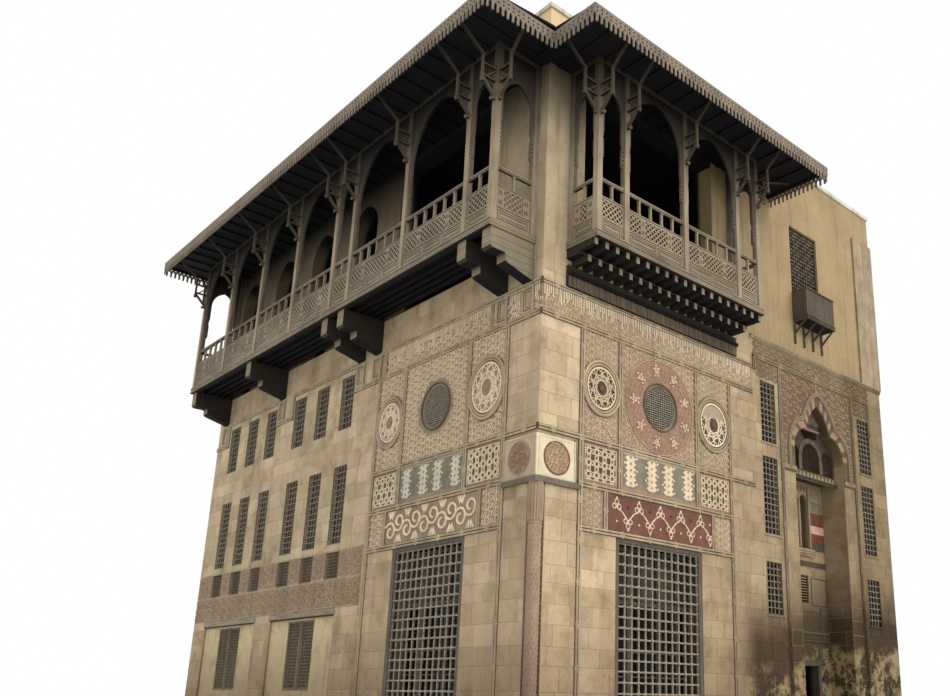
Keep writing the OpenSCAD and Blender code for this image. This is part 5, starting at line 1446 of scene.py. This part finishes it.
class FACADE_OT_grilles(bpy.types.Operator):
    """Puts the ball joints on the big grilles and the glazed timber windows behind them"""
    bl_idname = "facade.grilles"
    bl_label = "Big grilles"

    def execute(self, context):
        iron = settings(context, "iron")
        ball = ball_mesh(2)
        for front in ("left", "right"):
            low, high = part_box(front + "_big_grille")
            bm = bmesh.new()
            turn = FRONTS[front].inverted()
            a, b = turn @ low, turn @ high
            x0, x1, z0, z1 = min(a.x, b.x), max(a.x, b.x), low.z, high.z
            across, up = round((x1 - x0) / 0.215), round((z1 - z0) / 0.215)
            out = -(a.y + b.y) / 2
            wide = (x1 - x0) / across

            def balls(row, z):
                for i in range(across + 1):
                    stamp(row, ball, x0 + i * wide, z, out, iron.ball)
            for j in range(up + 1):
                apart(bm, balls, z0 + j * (z1 - z0) / up)
            piece(front + "_grille_balls", bm, ["dusty_wrought_iron"], front, 80)
            bm = bmesh.new()
            back = out - 0.34
            border(bm, x0, z0, x1, z1, 0.09, back - 0.04, back + 0.03, 0)
            transom = z0 + (z1 - z0) * 0.68
            slab(bm, x0, transom - 0.04, x1, transom + 0.04, back - 0.04, back + 0.04, 0)
            for share in (0.27, 0.64):
                x = x0 + (x1 - x0) * share
                slab(bm, x - 0.06, z0, x + 0.06, z1, back - 0.04, back + 0.035, 0)
            for share in (0.135, 0.385, 0.615, 0.865):
                x = x0 + (x1 - x0) * share
                slab(bm, x - 0.018, z0, x + 0.018, z1, back - 0.03, back + 0.02, 0)
            for k in range(1, 5):
                z = z0 + (transom - z0) * k / 5
                slab(bm, x0, z - 0.016, x1, z + 0.016, back - 0.03, back + 0.018, 0)
            slab(bm, x0, z0, x1, transom, back - 0.035, back - 0.028, 1)
            slab(bm, x0, transom, x1, z1, back - 0.035, back - 0.028, 2)
            piece(front + "_inner_window", bm, ["dark_frame_timber", "old_window_glass", "dusty_upper_glass"],
                  front)
        self.round_windows()
        return {"FINISHED"}

    def round_windows(self):
        """Close rows of small bars across both round windows"""
        for front in ("left", "right"):
            bm = bmesh.new()
            mid, rows, columns = MIDDLE[front], 20, 14
            for j in range(rows):
                z = ROUND_R * (2 * (j + 0.5) / rows - 1)
                half = math.sqrt(ROUND_R ** 2 - z * z)
                slab(bm, mid - half, ROUND_Z + z - 0.009, mid + half, ROUND_Z + z + 0.009, -0.04, -0.015)
            for k in range(1, columns):
                x = ROUND_R * (2 * k / columns - 1)
                half = math.sqrt(ROUND_R ** 2 - x * x)
                slab(bm, mid + x - 0.005, ROUND_Z - half, mid + x + 0.005, ROUND_Z + half, -0.045, -0.02)
            hoop(bm, mid, ROUND_Z, ROUND_R, ((-0.03, -0.14), (-0.03, -0.01), (0, -0.01), (0, -0.14)), 0, 40)
            piece(front + "_round_bars", bm, ["dusty_wrought_iron"], front)


class FACADE_OT_windows(bpy.types.Operator):
    """Bars, ball joints, sills and glass for the tall and small windows of all sides"""
    bl_idname = "facade.windows"
    bl_label = "Windows"

    def execute(self, context):
        iron = settings(context, "iron")
        sides = {"left": (WING, WING_ROWS), "right": (SIDE, SIDE_ROWS),
                 "far": ([-x for x in WING], WING_ROWS),
                 "back": ([WIDTH - x for x in BACK_COLS], WING_ROWS)}
        self.ball = ball_mesh(1)
        for front, (cols, rows) in sides.items():
            bm = bmesh.new()
            for x in cols:
                for row in rows:
                    lattice = front == "left" and row == rows[0]
                    apart(bm, self.window, x, row[0], row[1], WINDOW_W, iron, lattice, front == "right")
            piece(front + "_window_bars", bm, ["sooted_window_iron", "moulded_limestone", "old_window_glass",
                                               "brown_leaf_timber"], front)
        bm = bmesh.new()
        for x in GROUND:
            apart(bm, self.shutters, x)
        for a, b in RECESSES:
            # the recesses' plastered backs, beside and over their windows
            for r in cut((a + 0.004, 0.0, b - 0.004, LINTEL[1]),
                         [(x - 0.7, GROUND_SILL, x + 0.7, GROUND_HEAD) for x in GROUND]):
                slab(bm, r[0], r[1], r[2], r[3], -0.061, -0.052, 1)
            slab(bm, a - 0.05, LINTEL[0] + 0.03, b + 0.05, LINTEL[1] + 0.02, -0.059, 0.03, 2)
        piece("ground_windows", bm, ["brown_leaf_timber", "patched_yellow_plaster", "weathered_timber_y",
                                     "old_window_glass"], "left")
        return {"FINISHED"}

    def window(self, bm, x, z0, z1, w, iron, lattice, pale):
        half = w / 2
        up = max(2, round((z1 - z0) / iron.cell))
        if lattice:
            n = round(w / 0.08)
            for k in range(1, n):
                bar = x - half + k * w / n
                slab(bm, bar - 0.009, z0, bar + 0.009, z1, -0.035, -0.015, 3)
            for k in range(1, round((z1 - z0) / 0.08)):
                z = z0 + k * 0.08
                slab(bm, x - half, z - 0.009, x + half, z + 0.009, -0.04, -0.02, 3)
        else:
            bars(bm, x - half, z0, x + half, z1, 4, up, iron.bar, -0.034, -0.012, self.ball, iron.bar * 1.25,
                 0, 0)
        slab(bm, x - half, z0, x + half, z1, -0.33, -0.32, 2)
        border(bm, x - half - 0.02, z0 - 0.02, x + half + 0.02, z1 + 0.02, 0.02, -0.005, 0.012,
               1 if pale else 3)
        if pale:
            slab(bm, x - half - 0.05, z0 - 0.06, x + half + 0.05, z0 - 0.02, -0.005, 0.03, 1)

    def shutters(self, bm, x):
        """Slatted wooden leaves either side of a stile"""
        half, z0, z1 = 0.7, GROUND_SILL, GROUND_HEAD
        slab(bm, x - 0.045, z0, x + 0.045, z1, -0.13, -0.05, 0)
        for side in (-1, 1):
            a, b = sorted((x + side * 0.045, x + side * half))
            border(bm, a, z0, b, z1, 0.055, -0.13, -0.065, 0)
            for k in range(1, 8):
                u = a + (b - a) * k / 8
                slab(bm, u - 0.012, z0 + 0.055, u + 0.012, z1 - 0.055, -0.115, -0.09, 0)
            for k in range(1, 21):
                z = z0 + (z1 - z0) * k / 21
                slab(bm, a + 0.055, z - 0.012, b - 0.055, z + 0.012, -0.12, -0.095, 0)
        slab(bm, x - half, z0, x + half, z1, -0.24, -0.23, 3)


# Timber galleries
def lattice_skin(bm, x0, z0, x1, z1, cell, w, back, front, index=0, edge=0.0):
    """Crossed diagonal fillets, half-lapped, that fill a rectangle of a front to within an edge."""
    high = z1 - z0
    inner = (x0 + edge, z0 + edge, x1 - edge, z1 - edge)
    for k in range(math.ceil((x1 - x0 + high) / cell) + 1):
        x = x0 + k * cell
        straps_in(bm, [((x - high, z0), (x, z1))], inner, w, back, front, index)
        straps_in(bm, [((x, z0), (x - high, z1))], inner, w, back, front - 0.003, index)


def pierced_stile(bm, x, w, plane, plain=0, dark=1):
    """An upright between lattices with two pairs of pairs of small square holes, drawn as black squares that
    paint the shade behind them.
    """
    slab(bm, x - w / 2, PANEL_TOP + 0.02, x + w / 2, LATTICE_TOP - 0.01, plane, plane + 0.03, plain)
    for z in (PANEL_TOP + 0.11, PANEL_TOP + 0.16, LATTICE_TOP - 0.15, LATTICE_TOP - 0.10):
        for hole in (x - 0.027, x + 0.027):
            slab(bm, hole - 0.016, z - 0.017, hole + 0.016, z + 0.017, plane, plane + 0.0315, dark)


class FACADE_OT_galleries(bpy.types.Operator):
    """Trims both timber galleries: lattice fillets, pierced stiles, panels, rail caps, beads, pegs, joists"""
    bl_idname = "facade.galleries"
    bl_label = "Gallery trim"

    def execute(self, context):
        timber = settings(context, "timber")
        ball = ball_mesh(2)
        for front, (posts, out) in GALLERIES.items():
            run = "y" if front == "left" else "x"
            finishes = ["weathered_timber_" + run, "black_paste_inlay", "sheltered_strut_timber",
                        "sooted_soffit_" + run, "brown_wall_boards", "dark_frame_timber"]
            bm = bmesh.new()
            for a, b in zip(posts, posts[1:]):
                apart(bm, self.bay, a + POST / 2, b - POST / 2, out - POST / 2, False, timber)
            for x, y, way in ((posts[0], 0.0, -1), (posts[-1], -out, 1)):
                place = Matrix.Translation((x, y, 0)) @ Matrix.Rotation(way * math.pi / 2, 4, "Z")
                apart(bm, self.bay, POST, out - POST, 0.0, True, timber, place=place)
            apart(bm, self.beam, posts[0] - POST / 2 - 0.02, posts[-1] + POST / 2 + 0.02, out + 0.02, timber)
            for x in posts:
                # the peg at a bracket's foot and the turned knob under its hanger
                rod(bm, (x, out - 0.02, STRUT_FOOT - 0.02), (x, out + 0.11, STRUT_FOOT - 0.05), 0.042, 8, 5)
                y = out + HANGER_OUT
                stamp(bm, ball, x, HANGER - 0.09, y, 0.05, index=2)
                rod(bm, (x, y, HANGER - 0.06), (x, y, HANGER + 0.04), 0.034, 8, 2)
            piece(front + "_gallery_trim", bm, finishes, front, 40)
            bm = bmesh.new()
            apart(bm, self.soffit, front, timber)
            if front == "right":
                apart(bm, self.wall_boards)
            piece(front + "_gallery_underside", bm, finishes, front)
        return {"FINISHED"}

    def bay(self, bm, a, b, plane, is_return, timber):
        """One bay between two posts, on the middle plane of its boards"""
        w = timber.fillet
        lattice_skin(bm, a, PANEL_TOP, b, LATTICE_TOP, 0.135, w, plane + 0.006, plane + 0.026, edge=0.02)
        border(bm, a, PANEL_TOP, b, LATTICE_TOP, 0.034, plane, plane + 0.032)
        if b - a > 1.5:
            for share in (0.26, 0.74):
                pierced_stile(bm, a + share * (b - a), 0.15, plane)
        elif is_return:
            for x in (a + 0.12, b - 0.12):
                pierced_stile(bm, x, 0.17, plane)
        # fielded panels under the lattice
        n = max(1, round((b - a) / 0.76))
        step = (b - a - 0.055) / n
        for k in range(n):
            x0, x1 = a + 0.055 + k * step, a + (k + 1) * step
            border(bm, x0 + 0.022, DECK + 0.077, x1 - 0.022, PANEL_TOP - 0.077, 0.03, plane + 0.01,
                   plane + 0.03)
            slab(bm, x0 + 0.075, DECK + 0.13, x1 - 0.075, PANEL_TOP - 0.13, plane + 0.01, plane + 0.026)
        # rail cap, beads of the two rails, and the little bases and caps of the balusters
        slab(bm, a, RAIL - 0.012, b, RAIL + 0.014, plane - 0.045, plane + 0.045)
        for z in (RAIL - 0.035, MID_RAIL - 0.03, PANEL_TOP):
            rod(bm, (a, plane + 0.03, z), (b, plane + 0.03, z), timber.bead / 2, 6)
        panes = max(2, round((b - a) / 0.38))
        for k in range(1, panes):
            x = a + (b - a) * k / panes
            for z in (MID_RAIL, RAIL - 0.09):
                slab(bm, x - 0.03, z, x + 0.03, z + 0.03, plane - 0.036, plane + 0.036)

    def beam(self, bm, a, b, front, timber):
        """Fillet and bead along the edge beam"""
        slab(bm, a, DECK - 0.03, b, DECK + 0.004, front - 0.02, front + 0.014)
        rod(bm, (a, front, LOW + 0.022), (b, front, LOW + 0.022), timber.bead * 0.7, 6)
        slab(bm, a, LOW + 0.06, b, LOW + 0.072, front - 0.01, front + 0.005)

    def soffit(self, bm, front, timber):
        """Joists under a canopy"""
        low, high = (FRONTS[front].inverted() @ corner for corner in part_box(front + "_canopy"))
        x0, x1 = min(low.x, high.x) + 0.06, max(low.x, high.x) - 0.06
        eave = -min(low.y, high.y) - 0.08
        n = round((x1 - x0) / timber.joist)
        for k in range(n + 1):
            x = x0 + (x1 - x0 - 0.08) * k / n
            slab(bm, x, SOFFIT - 0.05, x + 0.08, SOFFIT - 0.001, 0.02, eave, 3)

    def wall_boards(self, bm):
        """Upright boards on the wall under the right gallery's joists"""
        posts, _ = GALLERIES["right"]
        x0, x1 = posts[0] - POST / 2, posts[-1] + POST / 2
        foot, beam = LEVELS[4] + ROLL, LEVELS[4] + ROLL + 0.26
        n = round((x1 - x0) / 0.11)
        for k in range(n):
            a, b = x0 + (x1 - x0) * k / n + 0.005, x0 + (x1 - x0) * (k + 1) / n - 0.005
            slab(bm, a, foot + 0.01, b, beam - 0.002, 0.078, 0.094 + 0.006 * (k % 3), 4)
        slab(bm, x0, beam - 0.002, x1, beam + 0.072, 0.07, 0.155, 3)


class FACADE_OT_balcony(bpy.types.Operator):
    """Fine lattices of the high window and of the box balcony before it"""
    bl_idname = "facade.balcony"
    bl_label = "Box balcony"

    def execute(self, context):
        cell = settings(context, "timber").baluster_gap
        x0, x1 = HIGH_WINDOW
        z0, z1 = BOX_Z
        bm = bmesh.new()
        step = (x1 - x0 - 0.05) / 3
        for k in range(3):
            a, b = x0 + 0.05 + k * step, x0 + (k + 1) * step
            lattice_skin(bm, a, z0 + 0.13, b, z1 - 0.05, cell, 0.026, BOX_OUT - 0.026, BOX_OUT - 0.004, 0)
        for z in (z0 + 0.02, z0 + 0.10, z1 - 0.03):
            slab(bm, x0 - 0.02, z, x1 + 0.02, z + 0.03, BOX_OUT - 0.03, BOX_OUT + 0.02, 1)

        def cheek(own):
            lattice_skin(own, 0.03, z0 + 0.13, BOX_OUT - 0.06, z1 - 0.05, cell, 0.026, 0.0, 0.014)
            border(own, 0.0, z0 + 0.08, BOX_OUT - 0.03, z1, 0.045, 0.0, 0.02, 1)
        for side, x, y in ((-1, x0, 0.0), (1, x1, 0.03 - BOX_OUT)):
            turn = Matrix.Rotation(side * math.pi / 2, 4, "Z")
            apart(bm, cheek, place=Matrix.Translation((x, y, 0)) @ turn)
        # turned screen of the window over it: a dense grid with a bead at each crossing
        head = SOFFIT - 0.44
        pitch = 0.115
        ball = ball_mesh(1)
        across, up = round((x1 - x0 - 0.08) / pitch), round((head - z1) / pitch)
        wide, high = (x1 - x0 - 0.08) / across, (head - z1) / up

        def beads(row, j):
            for i in range(1, across):
                index = 2 if (i * 2 + j) % 3 else 1
                stamp(row, ball, x0 + 0.04 + i * wide, z1 + j * high, -0.066, 0.034, index=index)
        for i in range(1, across):
            x = x0 + 0.04 + i * wide
            slab(bm, x - 0.01, z1, x + 0.01, head, -0.075, -0.06, 1)
        for j in range(1, up):
            z = z1 + j * high
            slab(bm, x0 + 0.04, z - 0.01, x1 - 0.04, z + 0.01, -0.078, -0.063, 1)
            apart(bm, beads, j)
        # a black sheet behind the screen paints the shade of the room behind the window
        slab(bm, x0, z0, x1, head, -0.34, -0.33, 3)
        finishes = ["dark_frame_timber", "brown_wall_boards", "weathered_timber_x", "black_paste_inlay"]
        piece("high_screen", bm, finishes, "right")
        return {"FINISHED"}


# Stage
class FACADE_OT_stage(bpy.types.Operator):
    """Sets the floor, the overcast sky, the soft key light and the camera"""
    bl_idname = "facade.stage"
    bl_label = "Stage"

    def execute(self, context):
        stage = settings(context, "stage")
        scene = context.scene
        scene.view_settings.view_transform = "Standard"
        bm = bmesh.new()
        bmesh.ops.create_circle(bm, cap_ends=True, segments=96, radius=160)
        bmesh.ops.translate(bm, vec=(0, 0, -0.002), verts=bm.verts)
        mesh = bpy.data.meshes.new("pale_floor")
        bm.to_mesh(mesh)
        bm.free()
        tree, where = start_finish("pale_floor_paint")
        clouds = add(tree, "range", add(tree, "noise", where, 1 / 3.0, 4.0, 0.55), 0.3, 0.7)
        end_finish(tree, add(tree, "mix", clouds, rgb("#d2d0ca"), rgb("#dddbd6")), 0.9)
        mesh.materials.append(bpy.data.materials["pale_floor_paint"])
        floor = bpy.data.objects.new("pale_floor", mesh)
        scene.collection.objects.link(floor)

        world = bpy.data.worlds.new("overcast_sky")
        scene.world = world
        world.use_nodes = True
        tree = world.node_tree
        tree.nodes.clear()
        up = add(tree, "axes", add(tree, "sky_place"))[2]
        power = add(tree, "range", up, 0.0, 1.0, stage.sky * 0.55, stage.sky)
        sky = add(tree, "sky", (0.93, 0.96, 1.0, 1.0), power)
        white = add(tree, "sky", (1, 1, 1, 1), 1.0)
        rays = add(tree, "rays")
        seen = add(tree, "most", rays["Is Camera Ray"], rays["Is Glossy Ray"])
        seen = add(tree, "most", seen, rays["Is Transmission Ray"])
        add(tree, "world", add(tree, "either", seen, sky, white))

        lamp = bpy.data.lights.new("soft_key", "SUN")
        lamp.energy = stage.sun
        lamp.angle = math.radians(50)
        lamp.color = (1.0, 0.95, 0.87)
        light = bpy.data.objects.new("soft_key", lamp)
        light.rotation_euler = Vector((0.35, -1.0, 1.0)).to_track_quat("Z", "Y").to_euler()
        scene.collection.objects.link(light)

        # The viewpoint stands at eye height, 17 m off the corner, looking up along both fronts
        lens = bpy.data.cameras.new("street_view")
        lens.sensor_width = 36.0
        lens.lens = 912 / 950 * 36.0
        lens.shift_x = -(597 - 475) / 950
        lens.shift_y = (431 - 348) / 950
        lens.clip_end = 500
        camera = bpy.data.objects.new("street_view", lens)
        turn = (Matrix.Rotation(math.radians(-43.8), 4, "Z")
                @ Matrix.Rotation(math.radians(90 + 16.27), 4, "X")
                @ Matrix.Rotation(math.radians(0.84), 4, "Z"))
        camera.matrix_world = Matrix.Translation(CORNER + Vector((-11.03, -13.19, 1.6))) @ turn
        scene.collection.objects.link(camera)
        scene.camera = camera
        return {"FINISHED"}


class FACADE_PT_panel(bpy.types.Panel):
    """Lists the pieces of the facade"""
    bl_idname = "FACADE_PT_panel"
    bl_label = "Facade"
    bl_space_type = "VIEW_3D"
    bl_region_type = "UI"
    bl_category = "Facade"

    def draw(self, context):
        for name in SETTINGS:
            box = self.layout.box()
            group = settings(context, name)
            for prop in group.__annotations__:
                box.prop(group, prop)
        for operator in OPERATORS:
            self.layout.operator(operator.bl_idname)


SETTINGS = {"stone": StoneSettings, "carving": CarvingSettings, "iron": IronSettings,
            "timber": TimberSettings, "stage": StageSettings}
OPERATORS = (FACADE_OT_finishes, FACADE_OT_stage, FACADE_OT_courses, FACADE_OT_mouldings, FACADE_OT_carving,
             FACADE_OT_corner, FACADE_OT_portal, FACADE_OT_grilles, FACADE_OT_windows, FACADE_OT_galleries,
             FACADE_OT_balcony)


def register():
    for name, group in SETTINGS.items():
        bpy.utils.register_class(group)
        setattr(bpy.types.Scene, "facade_" + name, PointerProperty(type=group))
    for cls in (*OPERATORS, FACADE_PT_panel):
        bpy.utils.register_class(cls)


def unregister():
    for cls in (FACADE_PT_panel, *reversed(OPERATORS)):
        bpy.utils.unregister_class(cls)
    for name, group in SETTINGS.items():
        delattr(bpy.types.Scene, "facade_" + name)
        bpy.utils.unregister_class(group)


def main():
    register()
    for operator in OPERATORS:
        getattr(bpy.ops.facade, operator.bl_idname.split(".")[1])()


if __name__ == "__main__":
    main()
